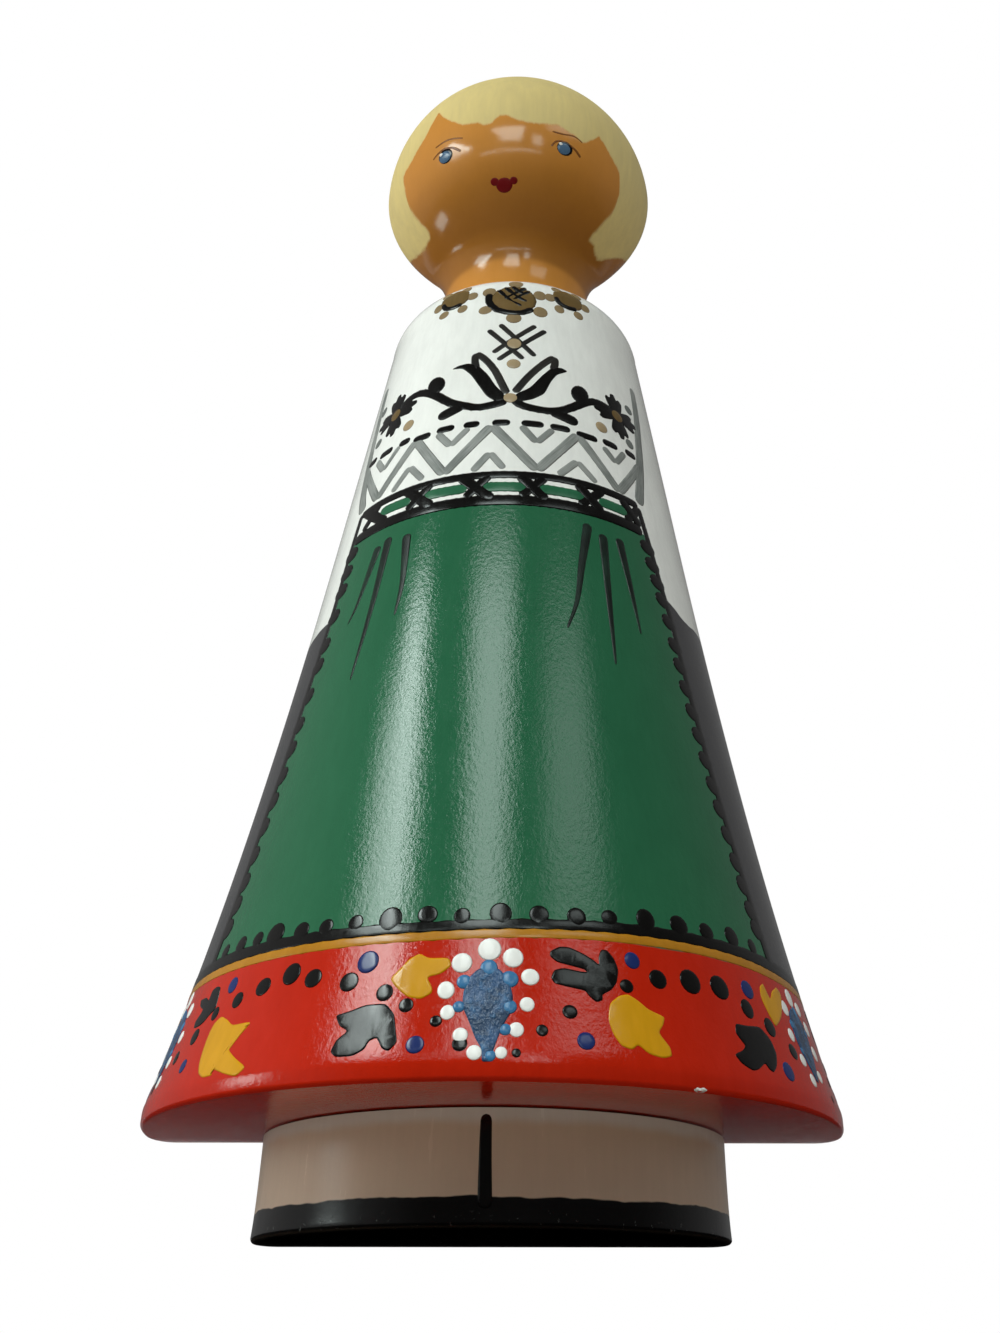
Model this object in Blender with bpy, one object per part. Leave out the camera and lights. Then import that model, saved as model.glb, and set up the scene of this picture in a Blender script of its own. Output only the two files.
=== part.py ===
"""Half-round wooden doll for a wall, turned in three pieces, with a ring hanger sunk in its flat back.

Metres, +Z up. The doll faces -Y and its flat back faces +Y. The origin lies under the middle of the
doll's bounding box, at the height of the foot.
"""

import math

import bmesh
import bpy
from mathutils import Vector

MM = 0.001

# Gaps
JOINT_GAP = 0.3 * MM  # between pieces that meet
EYE_CLEARANCE = 0.3 * MM  # between the ring's wire and the strap's eye

# Leg block
LEG_HEIGHT = 19.7 * MM
FOOT_RADIUS = 49.2 * MM
ANKLE_RADIUS = 48.8 * MM
LEG_TOP_RADIUS = 48.8 * MM
SHOE_HEIGHT = 5.1 * MM
FOOT_ROUND = 2.3 * MM

# Body: flared skirt, conical bodice and rounded shoulder
HEM_RADIUS = 73.5 * MM
HEM_ROUND = 2.5 * MM
HEM_LEAN = math.radians(16.6)  # slope of the skirt just above the hem
SKIRT_HEIGHT = 144.3 * MM  # hem to waist
WAIST_RADIUS = 46.5 * MM
BODICE_HEIGHT = 68.0 * MM  # waist to the edge of the shoulder
SHOULDER_RADIUS = 36.5 * MM
SHOULDER_RISE = 11.6 * MM

# Head and neck
NECK_BASE_RADIUS = 23.0 * MM
NECK_RADIUS = 20.9 * MM  # control radius of the neck's hollow curve
NECK_LENGTH = 25.2 * MM
NECK_JOIN_RADIUS = 26.9 * MM  # where the neck runs out into the ball
HEAD_RADIUS = 42.4 * MM
HEAD_HALF_HEIGHT = 42.2 * MM

# Glued dowels
DOWEL_RADIUS = 4.0 * MM
DOWEL_CHAMFER = 0.8 * MM
FLUTE_COUNT = 14
FLUTE_DEPTH = 0.25 * MM
NECK_DOWEL_LENGTH = 34.0 * MM
NECK_DOWEL_INSET = 10.0 * MM  # axis in front of the flat back
LEG_DOWEL_LENGTH = 26.0 * MM
LEG_DOWEL_INSET = 20.0 * MM
LEG_DOWEL_SPACING = 52.0 * MM
LEG_DOWEL_IN_LEG = 11.0 * MM  # length that stands in the leg block

# Ring hanger
HANGER_DROP = 42.0 * MM  # ring's axis below the edge of the shoulder
WIRE_RADIUS = 1.0 * MM
RING_HALF_WIDTH = 9.0 * MM  # to the wire's centre line
RING_SIDE = 4.0 * MM  # straight sides between the bar and the bow
RING_CORNER = 2.4 * MM
STRAP_WIDTH = 10.0 * MM
STRAP_THICKNESS = 0.9 * MM
STRAP_CORNER = 2.5 * MM
EYE_TURN = math.radians(295)  # how far the strap's end curls round the bar
SCREW_RADIUS = 1.4 * MM
SCREW_LENGTH = 13.0 * MM
SCREW_POINT = 3.5 * MM
SCREW_HEAD_RADIUS = 2.7 * MM
SCREW_HEAD_HEIGHT = 1.5 * MM
SCREW_SLOT_WIDTH = 0.7 * MM
SCREW_SLOT_DEPTH = 0.7 * MM
SCREW_EDGE = 1.6 * MM  # strap beyond the upper screw's head
POCKET_ROOM = 5.0 * MM  # pocket beside the ring and above the strap
POCKET_FOOT = 10.0 * MM  # pocket below the ring, for a nail's head
POCKET_COVER = 1.5 * MM  # eye below the flat back
POCKET_CORNER = 7.0 * MM

# Facets
HALF_TURN_STEPS = 44
ROUND_STEPS = 28

# Sizes that follow from those above
BACK_Y = HEM_RADIUS / 2
HEM_Z = LEG_HEIGHT + JOINT_GAP
WAIST_Z = HEM_Z + SKIRT_HEIGHT
SHOULDER_Z = WAIST_Z + BODICE_HEIGHT
BODY_TOP_Z = SHOULDER_Z + SHOULDER_RISE
NECK_Z = BODY_TOP_Z + JOINT_GAP
EYE_INNER = WIRE_RADIUS + EYE_CLEARANCE
EYE_OUTER = EYE_INNER + STRAP_THICKNESS
RING_DROP = RING_SIDE + RING_HALF_WIDTH
POCKET_DEPTH = JOINT_GAP + 2 * EYE_OUTER + POCKET_COVER
HANGER_Y = BACK_Y - POCKET_COVER - EYE_OUTER
HANGER_Z = SHOULDER_Z - HANGER_DROP
LOWER_SCREW_RISE = (EYE_OUTER + RING_DROP - WIRE_RADIUS) / 2
UPPER_SCREW_RISE = RING_DROP + WIRE_RADIUS + SCREW_HEAD_RADIUS + SCREW_EDGE
STRAP_RISE = UPPER_SCREW_RISE + SCREW_HEAD_RADIUS + SCREW_EDGE
SCREW_HOLE_RADIUS = SCREW_RADIUS + JOINT_GAP
SCREW_SEAT_Y = EYE_OUTER - STRAP_THICKNESS - JOINT_GAP  # from the ring's axis, towards the wood


def clear_scene():
    for thing in list(bpy.data.objects):
        bpy.data.objects.remove(thing, do_unlink=True)


def paint(name, colour, roughness, metallic=0.0):
    material = bpy.data.materials.new(name)
    material.use_nodes = True
    shader = material.node_tree.nodes["Principled BSDF"]
    shader.inputs["Base Color"].default_value = (*colour, 1.0)
    shader.inputs["Roughness"].default_value = roughness
    shader.inputs["Metallic"].default_value = metallic
    return material


def add_object(name, mesh, place, material=None, parent=None):
    thing = bpy.data.objects.new(name, mesh)
    bpy.context.scene.collection.objects.link(thing)
    thing.location = place
    thing.parent = parent
    if material:
        mesh.materials.append(material)
    return thing


def finish_mesh(name, bm):
    bmesh.ops.recalc_face_normals(bm, faces=bm.faces)
    mesh = bpy.data.meshes.new(name)
    bm.to_mesh(mesh)
    bm.free()
    return mesh


def bezier(points, count):
    """Points along a Bezier curve through its control points, ends included."""
    result = []
    for step in range(count + 1):
        t = step / count
        level = [Vector(point) for point in points]
        while len(level) > 1:
            level = [a.lerp(b, t) for a, b in zip(level, level[1:])]
        result.append(tuple(level[0]))
    return result


def arc(centre, radii, start, end, count):
    """Points of an elliptical arc, ends included, angles in radians."""
    result = []
    for step in range(count + 1):
        angle = start + (end - start) * step / count
        point = (centre[0] + radii[0] * math.cos(angle), centre[1] + radii[1] * math.sin(angle))
        result.append(point)
    return result


def turn(name, profile, sweep, steps):
    """Turn an outline of (radius, height) points about Z, axis to axis; a half turn gets a flat back."""
    bm = bmesh.new()
    points = [bm.verts.new((radius, 0, height)) for radius, height in profile]
    edges = [bm.edges.new(pair) for pair in zip(points, points[1:])]
    whole = abs(sweep) > 2 * math.pi - 0.001
    bmesh.ops.spin(
        bm, geom=points + edges, cent=(0, 0, 0), axis=(0, 0, 1), angle=sweep, steps=steps, use_merge=whole
    )
    bmesh.ops.remove_doubles(bm, verts=bm.verts, dist=0.001 * MM)
    rim = [edge for edge in bm.edges if edge.is_boundary]
    if rim:
        bmesh.ops.contextual_create(bm, geom=rim)
    return finish_mesh(name, bm)


def slab(name, outline, sweep):
    """Push a flat outline of 3-D points along a vector into a closed solid."""
    bm = bmesh.new()
    face = bm.faces.new([bm.verts.new(point) for point in outline])
    pushed = bmesh.ops.extrude_face_region(bm, geom=[face], use_keep_orig=True)["geom"]
    moved = [item for item in pushed if isinstance(item, bmesh.types.BMVert)]
    bmesh.ops.translate(bm, verts=moved, vec=sweep)
    return finish_mesh(name, bm)


def rod(name, radius, length):
    """A plain round cutter along +Z from the origin."""
    return turn(name, [(0, 0), (radius, 0), (radius, length), (0, length)], 2 * math.pi, ROUND_STEPS)


def cut(target, name, mesh, place, turned=0.0, parent=None):
    """Take a hidden solid away from a piece."""
    cutter = add_object(name, mesh, place, parent=parent)
    cutter.rotation_euler = (turned, 0, 0)
    cutter.hide_render = True
    cutter.display_type = "WIRE"
    change = target.modifiers.new(name, "BOOLEAN")
    change.operation = "DIFFERENCE"
    change.solver = "EXACT"
    change.object = cutter


def leg_profile():
    waist = ((ANKLE_RADIUS, SHOE_HEIGHT), (ANKLE_RADIUS, 0.6 * LEG_HEIGHT + 0.4 * SHOE_HEIGHT))
    foot = arc((FOOT_RADIUS - FOOT_ROUND, FOOT_ROUND), (FOOT_ROUND, FOOT_ROUND), -math.pi / 2, 0, 4)
    side = bezier([foot[-1], *waist, (LEG_TOP_RADIUS, LEG_HEIGHT)], 12)
    return [(0, 0), *foot, *side[1:], (0, LEG_HEIGHT)]


def body_profile():
    """From the middle of the underside round the hem, up the skirt and bodice to the neck's seat."""
    hem_centre = (HEM_RADIUS - HEM_ROUND, HEM_ROUND)
    hem = arc(hem_centre, (HEM_ROUND, HEM_ROUND), -math.pi / 2, HEM_LEAN, 8)
    waist = (WAIST_RADIUS, SKIRT_HEIGHT)
    shoulder = (SHOULDER_RADIUS, SKIRT_HEIGHT + BODICE_HEIGHT)
    bodice_slope = (WAIST_RADIUS - SHOULDER_RADIUS) / BODICE_HEIGHT
    hem_slope = math.tan(HEM_LEAN)
    # the skirt's curve leaves the hem along its lean and runs into the bodice's straight side
    drop = hem[-1][0] + hem_slope * hem[-1][1] - waist[0] - bodice_slope * waist[1]
    bend_height = drop / (hem_slope - bodice_slope)
    bend = (waist[0] + bodice_slope * (waist[1] - bend_height), bend_height)
    skirt = bezier([hem[-1], bend, waist], 18)
    reach = SHOULDER_RADIUS - NECK_BASE_RADIUS
    round_over = arc((NECK_BASE_RADIUS, shoulder[1]), (reach, SHOULDER_RISE), 0, math.pi / 2, 10)
    return [(0, 0), *hem, *skirt[1:], *round_over, (0, round_over[-1][1])]


def head_profile():
    """From the neck's foot through its hollow curve and over the ball."""
    sink = math.sqrt(1 - (NECK_JOIN_RADIUS / HEAD_RADIUS) ** 2)
    centre = NECK_LENGTH + HEAD_HALF_HEIGHT * sink
    join_slope = HEAD_HALF_HEIGHT * NECK_JOIN_RADIUS / (HEAD_RADIUS**2 * sink)
    join = (NECK_JOIN_RADIUS, NECK_LENGTH)
    lead = NECK_JOIN_RADIUS - NECK_RADIUS
    throat = ((NECK_RADIUS, NECK_LENGTH / 4), (NECK_RADIUS, NECK_LENGTH - lead * join_slope))
    neck = bezier([(NECK_BASE_RADIUS, 0), *throat, join], 12)
    start = -math.acos(NECK_JOIN_RADIUS / HEAD_RADIUS)
    ball = arc((0, centre), (HEAD_RADIUS, HEAD_HALF_HEIGHT), start, math.pi / 2, 30)
    return [(0, 0), *neck, *ball[1:-1], (0, ball[-1][1])]


def dowel_mesh(name, length):
    """A fluted dowel along +Z, its ends chamfered."""
    bm = bmesh.new()
    rings = ((DOWEL_RADIUS - DOWEL_CHAMFER, 0), (DOWEL_RADIUS, DOWEL_CHAMFER))
    rings += ((DOWEL_RADIUS, length - DOWEL_CHAMFER), (DOWEL_RADIUS - DOWEL_CHAMFER, length))
    loops = []
    for radius, height in rings:
        loop = []
        for step in range(2 * FLUTE_COUNT):
            angle = math.pi * step / FLUTE_COUNT
            reach = radius - FLUTE_DEPTH * (step % 2)
            loop.append(bm.verts.new((reach * math.cos(angle), reach * math.sin(angle), height)))
        loops.append(loop)
    for low, high in zip(loops, loops[1:]):
        for step in range(2 * FLUTE_COUNT):
            bm.faces.new((low[step - 1], low[step], high[step], high[step - 1]))
    bm.faces.new(loops[0])
    bm.faces.new(loops[-1])
    return finish_mesh(name, bm)


def dowel(name, length, place, material, sockets):
    """A dowel standing at a place, with a hole for it in each (piece, cut name) it joins."""
    piece = add_object(name, dowel_mesh(name, length), place, material)
    low = Vector(place) - Vector((0, 0, JOINT_GAP))
    for target, cut_name in sockets:
        cut(target, cut_name, rod(cut_name, DOWEL_RADIUS + JOINT_GAP, length + 2 * JOINT_GAP), low)
    return piece


def pocket_outline():
    """Round-cornered opening in the flat back, round the ring's axis, as (x, z)."""
    half = RING_HALF_WIDTH + WIRE_RADIUS + POCKET_ROOM
    top = STRAP_RISE + POCKET_ROOM
    bottom = -(RING_DROP + WIRE_RADIUS + POCKET_FOOT)
    corners = ((half, top, 0), (-half, top, 1), (-half, bottom, 2), (half, bottom, 3))
    outline = []
    for x, z, quarter in corners:
        centre = (x - math.copysign(POCKET_CORNER, x), z - math.copysign(POCKET_CORNER, z))
        start = quarter * math.pi / 2
        outline += arc(centre, (POCKET_CORNER, POCKET_CORNER), start, start + math.pi / 2, 6)
    return outline


def cut_pocket(body, hanger):
    floor = -EYE_OUTER - JOINT_GAP
    outline = [(x, floor, z) for x, z in pocket_outline()]
    cut(body, "pocket_cut", slab("pocket_cut", outline, (0, 2 * POCKET_DEPTH, 0)), (0, 0, 0), parent=hanger)


def strap_outline():
    """Side view of the strap: a flat leaf on the pocket's floor and an eye rolled out round the bar."""
    outer = arc((0, 0), (EYE_OUTER, EYE_OUTER), math.pi, math.pi + EYE_TURN, 20)
    inner = arc((0, 0), (EYE_INNER, EYE_INNER), math.pi + EYE_TURN, math.pi, 20)
    return [(-EYE_OUTER, STRAP_RISE), *outer, *inner, (-EYE_INNER, STRAP_RISE)]


def make_strap(hanger, material):
    side = [(-STRAP_WIDTH / 2, y, z) for y, z in strap_outline()]
    mesh = slab("hanger_strap", side, (STRAP_WIDTH, 0, 0))
    bm = bmesh.new()
    bm.from_mesh(mesh)
    ends = []
    for edge in bm.edges:
        if all(abs(point.co.z - STRAP_RISE) < 0.01 * MM for point in edge.verts):
            if edge.calc_length() < 2 * STRAP_THICKNESS:
                ends.append(edge)
    bmesh.ops.bevel(
        bm, geom=ends, offset=STRAP_CORNER, affect="EDGES", segments=4, profile=0.5, material=-1
    )
    bm.to_mesh(mesh)
    bm.free()
    return add_object("hanger_strap", mesh, (0, 0, 0), material, hanger)


def ring_path():
    """Half of the ring's centre line as (x, z), from the bar's middle round to the bow's lowest point."""
    corner = (RING_HALF_WIDTH - RING_CORNER, -RING_CORNER)
    bend = arc(corner, (RING_CORNER, RING_CORNER), math.pi / 2, 0, 6)
    bow = arc((0, -RING_SIDE), (RING_HALF_WIDTH, RING_HALF_WIDTH), 0, -math.pi / 2, 12)
    return [(0, 0), *bend, *bow]


def make_ring(hanger, material):
    right = ring_path()
    left = [(-x, z) for x, z in reversed(right[1:-1])]
    curve = bpy.data.curves.new("hanger_ring", "CURVE")
    curve.dimensions = "3D"
    curve.bevel_depth = WIRE_RADIUS
    curve.bevel_resolution = 3
    line = curve.splines.new("POLY")
    path = right + left
    line.points.add(len(path) - 1)
    for point, (x, z) in zip(line.points, path):
        point.co = (x, 0, z, 1)
    line.use_cyclic_u = True
    return add_object("hanger_ring", curve, (0, 0, 0), material, hanger)


def screw_profile():
    """A round-headed wood screw along +Z: its seat at height 0, its point below."""
    dome = arc((0, 0), (SCREW_HEAD_RADIUS, SCREW_HEAD_HEIGHT), 0, math.pi / 2, 7)
    shank = ((SCREW_RADIUS, SCREW_POINT - SCREW_LENGTH), (SCREW_RADIUS, 0))
    return [(0, -SCREW_LENGTH), *shank, *dome[:-1], (0, SCREW_HEAD_HEIGHT)]


def make_screw(name, rise, hanger, body, strap, material):
    out = -math.pi / 2
    seat = (0, -SCREW_SEAT_Y, rise)
    piece = add_object(name, turn(name, screw_profile(), 2 * math.pi, ROUND_STEPS), seat, material, hanger)
    piece.rotation_euler = (out, 0, 0)
    reach = 2 * SCREW_HEAD_RADIUS
    half = SCREW_SLOT_WIDTH / 2
    bottom = SCREW_HEAD_HEIGHT - SCREW_SLOT_DEPTH
    sides = ((-reach, -half, bottom), (reach, -half, bottom), (reach, half, bottom), (-reach, half, bottom))
    cut(piece, name + "_slot", slab(name + "_slot", sides, (0, 0, 2 * SCREW_HEAD_HEIGHT)), seat, out, hanger)
    depth = SCREW_LENGTH + JOINT_GAP
    for target, word in ((body, "_pilot"), (strap, "_hole")):
        hole = rod(name + word, SCREW_HOLE_RADIUS, depth + STRAP_THICKNESS)
        cut(target, name + word, hole, (0, -SCREW_SEAT_Y - depth, rise), out, hanger)
    return piece


def make_hanger(body):
    zinc = paint("zinc_strap", (0.62, 0.62, 0.60), 0.38, 1.0)
    wire = paint("zinc_wire", (0.70, 0.70, 0.68), 0.28, 1.0)
    steel = paint("screw_steel", (0.55, 0.52, 0.45), 0.35, 1.0)
    hanger = bpy.data.objects.new("hanger_axis", None)
    bpy.context.scene.collection.objects.link(hanger)
    hanger.location = (0, HANGER_Y, HANGER_Z)
    cut_pocket(body, hanger)
    strap = make_strap(hanger, zinc)
    make_ring(hanger, wire)
    make_screw("hanger_screw_lower", LOWER_SCREW_RISE, hanger, body, strap, steel)
    make_screw("hanger_screw_upper", UPPER_SCREW_RISE, hanger, body, strap, steel)


def make_doll():
    skin = paint("skin_paint", (0.72, 0.42, 0.20), 0.22)
    dress = paint("dress_paint", (0.10, 0.24, 0.15), 0.22)
    stocking = paint("stocking_paint", (0.78, 0.76, 0.70), 0.25)
    beech = paint("dowel_beech", (0.72, 0.52, 0.33), 0.7)
    half = -math.pi
    head = add_object("head", turn("head", head_profile(), half, HALF_TURN_STEPS), (0, BACK_Y, NECK_Z), skin)
    body = add_object("body", turn("body", body_profile(), half, HALF_TURN_STEPS), (0, BACK_Y, HEM_Z), dress)
    leg = add_object("leg_block", turn("leg", leg_profile(), half, HALF_TURN_STEPS), (0, BACK_Y, 0), stocking)
    neck_place = (0, BACK_Y - NECK_DOWEL_INSET, BODY_TOP_Z - NECK_DOWEL_LENGTH / 2)
    dowel(
        "neck_dowel", NECK_DOWEL_LENGTH, neck_place, beech,
        ((head, "neck_socket_in_head"), (body, "neck_socket_in_body")),
    )
    for side, word in ((-1, "left"), (1, "right")):
        place = (side * LEG_DOWEL_SPACING / 2, BACK_Y - LEG_DOWEL_INSET, LEG_HEIGHT - LEG_DOWEL_IN_LEG)
        sockets = ((leg, f"{word}_socket_in_leg"), (body, f"{word}_socket_in_body"))
        dowel(f"leg_dowel_{word}", LEG_DOWEL_LENGTH, place, beech, sockets)
    return body


clear_scene()
make_hanger(make_doll())
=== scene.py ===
"""Painted half-round wooden doll for a wall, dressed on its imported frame."""

import math

import bmesh
import bpy
from bpy.props import FloatProperty, FloatVectorProperty, PointerProperty
from mathutils import Matrix, Vector, noise


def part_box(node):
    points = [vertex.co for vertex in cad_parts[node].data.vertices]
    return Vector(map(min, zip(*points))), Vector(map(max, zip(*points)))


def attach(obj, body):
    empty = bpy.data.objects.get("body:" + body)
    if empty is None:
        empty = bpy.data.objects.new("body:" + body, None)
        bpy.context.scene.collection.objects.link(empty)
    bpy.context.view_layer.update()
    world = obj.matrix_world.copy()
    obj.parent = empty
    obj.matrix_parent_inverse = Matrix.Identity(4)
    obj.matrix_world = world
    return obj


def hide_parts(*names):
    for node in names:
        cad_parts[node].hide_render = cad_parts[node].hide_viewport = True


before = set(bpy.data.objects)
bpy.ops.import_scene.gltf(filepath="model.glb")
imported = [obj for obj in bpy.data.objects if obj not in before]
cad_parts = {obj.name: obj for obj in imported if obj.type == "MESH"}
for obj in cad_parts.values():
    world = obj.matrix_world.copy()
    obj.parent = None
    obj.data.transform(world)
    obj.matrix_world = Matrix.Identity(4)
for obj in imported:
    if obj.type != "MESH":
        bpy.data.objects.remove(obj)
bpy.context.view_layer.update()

bl_info = {
    "name": "Painted wall doll",
    "version": (1, 0, 0),
    "blender": (4, 5, 0),
    "location": "View3D > Sidebar > Wall doll",
    "description": "Builds a painted half-round wooden doll with its wall hanger",
    "category": "Object",
}

MM = 0.001
BODY_LOW, BODY_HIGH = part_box("body")
HEAD_LOW, HEAD_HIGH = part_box("head")
LEG_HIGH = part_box("leg_block")[1]
BACK_Y = BODY_HIGH.y  # the flat back, and the line that every piece is turned about
HALF_TURN_STEPS = 128
HEM_CORNER = (0.1 * MM, 0.8 * MM)  # inward and upward, where the hem band turns into the skirt
EASE_CUTS = (0.05, 0.2, 0.45, 1.0)  # edges across an eased corner, as shares of its depth
SHARP_EDGE = math.radians(40)
# Paint, in millimetres where it has a size
SINK = 0.08  # how far paint reaches below the wood's surface
CURVE_STEPS = 10  # points between two given points of a stroke
STROKE_SIDES = 8  # round a stroke
FEWEST_STEPS = 10  # along a short stroke
END_CROWDING = 0.13  # draws the steps of a stroke towards its ends
DAB_SPREAD = 1.06  # a dab comes out a little larger than it is drawn
DAB_UNEVEN = 0.1  # most that a dab grows or shrinks across, as a share
DAB_LEAN = 30  # most that a dab leans, in degrees
PATCH_PITCH = (2.0, 3.0)  # across and up, between the edges that let a patch bend with the wood
PATCH_RIM = 0.3  # width of the slope round a patch


def display(red, green, blue):
    """Linear colour of a display colour given as three numbers up to 255."""
    parts = []
    for value in (red, green, blue):
        value = value / 255
        parts.append(value / 12.92 if value <= 0.04045 else ((value + 0.055) / 1.055) ** 2.4)
    return tuple(parts)


def length(name, description, default):
    return FloatProperty(
        name=name, description=description, default=default, subtype="DISTANCE", unit="LENGTH"
    )


def tilt(name, description, degrees):
    return FloatProperty(name=name, description=description, default=math.radians(degrees), subtype="ANGLE")


def colour(name, description, *default):
    return FloatVectorProperty(
        name=name, description=description, default=display(*default), subtype="COLOR", size=3, min=0, max=1
    )


class DollSizes(bpy.types.PropertyGroup):
    """Sizes of the turned wood."""

    foot_radius: length("Foot radius", "Turned radius at the sole", LEG_HIGH.x)
    ankle_radius: length("Ankle radius", "Narrowest radius of the leg block", 48.8 * MM)
    leg_top_radius: length("Leg top radius", "Radius where the legs meet the skirt", 48.8 * MM)
    shoe_height: length("Shoe height", "Height of the painted shoes", 5.1 * MM)
    foot_round: length("Foot round", "Rounding of the sole's edge", 0.9 * MM)
    hem_radius: length("Hem radius", "Widest radius of the skirt", BODY_HIGH.x)
    hem_round: length("Hem round", "Rounding of the hem's lower edge", 0.9 * MM)
    hem_band: length("Hem band", "Upright band round the foot of the skirt", 2.6 * MM)
    hem_lean: tilt("Hem lean", "Slope of the skirt just above the hem", 16.6)
    skirt_height: length("Skirt height", "From the hem to the waist", 144.3 * MM)
    waist_radius: length("Waist radius", "Radius at the waist", 46.5 * MM)
    bodice_height: length("Bodice height", "From the waist to the edge of the shoulder", 68.0 * MM)
    shoulder_radius: length("Shoulder radius", "Radius at the edge of the shoulder", 36.5 * MM)
    neck_base_radius: length("Neck base radius", "Radius where the head stands on the body", 23.0 * MM)
    neck_radius: length("Neck radius", "Control radius of the neck's hollow curve", 20.9 * MM)
    neck_length: length("Neck length", "From the shoulder to the ball of the head", 25.2 * MM)
    neck_join_radius: length("Neck join radius", "Where the neck runs into the ball", 26.9 * MM)
    head_radius: length("Head radius", "Widest radius of the head", HEAD_HIGH.x)
    head_half_height: length("Head half height", "Half the height of the ball", 42.2 * MM)
    corner_ease: length("Corner ease", "Rounding where the turned side meets the flat back", 4.0 * MM)


class DollColours(bpy.types.PropertyGroup):
    """Colours of the paints, the wood and the metal."""

    white: colour("White", "Dress, sleeves and white dots", 232, 235, 230)
    green: colour("Green", "Apron", 38, 96, 66)
    charcoal: colour("Charcoal", "Skirt beside the apron", 58, 58, 60)
    red: colour("Red", "Hem band and underside", 180, 32, 6)
    ochre: colour("Ochre", "Line above the hem band", 170, 116, 20)
    yellow: colour("Yellow", "Yellow leaves", 198, 143, 0)
    black: colour("Black", "Brush strokes and dots", 12, 11, 10)
    grey: colour("Grey", "Thin zigzag strokes", 104, 110, 106)
    gold: colour("Gold", "Dots on the bodice", 158, 140, 108)
    olive: colour("Olive", "Necklace and flower centres", 104, 84, 48)
    brown: colour("Brown", "Brows and lids", 124, 76, 32)
    navy: colour("Navy", "Small dark blue dots", 24, 42, 98)
    blue: colour("Blue", "Hem lozenges", 54, 86, 124)
    pale_blue: colour("Pale blue", "Dabs on the lozenges", 56, 114, 158)
    iris: colour("Iris", "Eyes", 74, 104, 132)
    lips: colour("Lips", "Mouth", 106, 0, 6)
    skin: colour("Skin", "Face and neck", 178, 117, 36)
    hair: colour("Hair", "Fringe and bob", 222, 203, 130)
    stocking: colour("Stocking", "Legs", 219, 198, 172)
    wood_light: colour("Light wood", "Early growth of the bare wood", 214, 178, 130)
    wood_dark: colour("Dark wood", "Late growth of the bare wood", 172, 128, 82)
    zinc: colour("Zinc", "Strap, ring and screws", 186, 190, 194)


class DollStage(bpy.types.PropertyGroup):
    """Camera, lamps and floor."""

    lens: FloatProperty(name="Lens", description="Focal length on a 36 mm sensor", default=34.05)
    camera_place: FloatVectorProperty(
        name="Camera",
        description="Place of the camera",
        default=(0.0132, -0.2549, -0.0179),
        subtype="TRANSLATION",
    )
    pitch: tilt("Pitch", "How far up it looks", 30.38)
    yaw: tilt("Yaw", "How far left it looks", -0.13)
    roll: tilt("Roll", "Lean of the picture", 0.07)
    shift: FloatVectorProperty(
        name="Shift", description="Shift of the frame", default=(-0.0456, -0.0434), size=2
    )
    strips: FloatProperty(name="Strips", description="Share of full light from the near lamps", default=1.0)
    panels: FloatProperty(name="Panels", description="Share of full light from the far panels", default=1.0)
    floor_radius: length("Floor radius", "Radius of the floor", 3.0)


class DollSettings(bpy.types.PropertyGroup):
    """All that the operators read."""

    sizes: PointerProperty(type=DollSizes, name="Sizes", description="Sizes of the turned wood")
    colours: PointerProperty(type=DollColours, name="Colours", description="Paints, wood and metal")
    stage: PointerProperty(type=DollStage, name="Stage", description="Camera, lamps and floor")


# Outlines of the turned wood


def bezier(points, count):
    """Points along a Bezier curve through its control points, ends included."""
    result = []
    for step in range(count + 1):
        t = step / count
        level = [Vector(point) for point in points]
        while len(level) > 1:
            level = [a.lerp(b, t) for a, b in zip(level, level[1:])]
        result.append(tuple(level[0]))
    return result


def arc(centre, radii, start, end, count):
    """Points of an elliptical arc, ends included, angles in radians."""
    result = []
    for step in range(count + 1):
        angle = start + (end - start) * step / count
        result.append((centre[0] + radii[0] * math.cos(angle), centre[1] + radii[1] * math.sin(angle)))
    return result


def raised(points, height):
    return [(radius, z + height) for radius, z in points]


class Turning:
    """The painted side of a turned piece: radius against height, rising."""

    def __init__(self, outline, ease):
        self.outline = outline
        self.ease = ease

    def at(self, height):
        """Radius at a height, and the way out of the surface as (outward, upward)."""
        points = self.outline
        low, high = 0, len(points) - 1
        while high - low > 1:
            middle = (low + high) // 2
            if points[middle][1] <= height:
                low = middle
            else:
                high = middle
        (r0, z0), (r1, z1) = points[low], points[high]
        share = min(1.0, max(0.0, (height - z0) / (z1 - z0)))
        run = Vector((r1 - r0, z1 - z0)).normalized()
        return r0 + (r1 - r0) * share, Vector((run.y, -run.x))

    def degree(self, height):
        """Millimetres round the piece in one degree, at a height in millimetres."""
        return self.at(height * MM)[0] / MM * math.pi / 180

    def place(self, angle, height, lift):
        """Point at degrees from the front, millimetres up and millimetres proud."""
        radius, out = self.at(height * MM)
        radius += out.x * lift * MM
        turn = math.radians(angle)
        z = (height + out.y * lift) * MM
        return self.eased(Vector((radius * math.sin(turn), BACK_Y - radius * math.cos(turn), z)))

    def eased(self, point):
        """The point drawn in where the side is rounded over to the flat back, twice as deep as wide."""
        near = max(0.0, 1 - (BACK_Y - point.y) / (2 * self.ease))
        out = self.at(point.z)[1]
        pull = self.ease * (out.x if out.y > 0 else 1) * (1 - math.sqrt(max(0.0, 1 - near**2)))
        across = point.x - math.copysign(min(pull, abs(point.x) / 2), point.x)
        return Vector((across, point.y, point.z))


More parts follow.
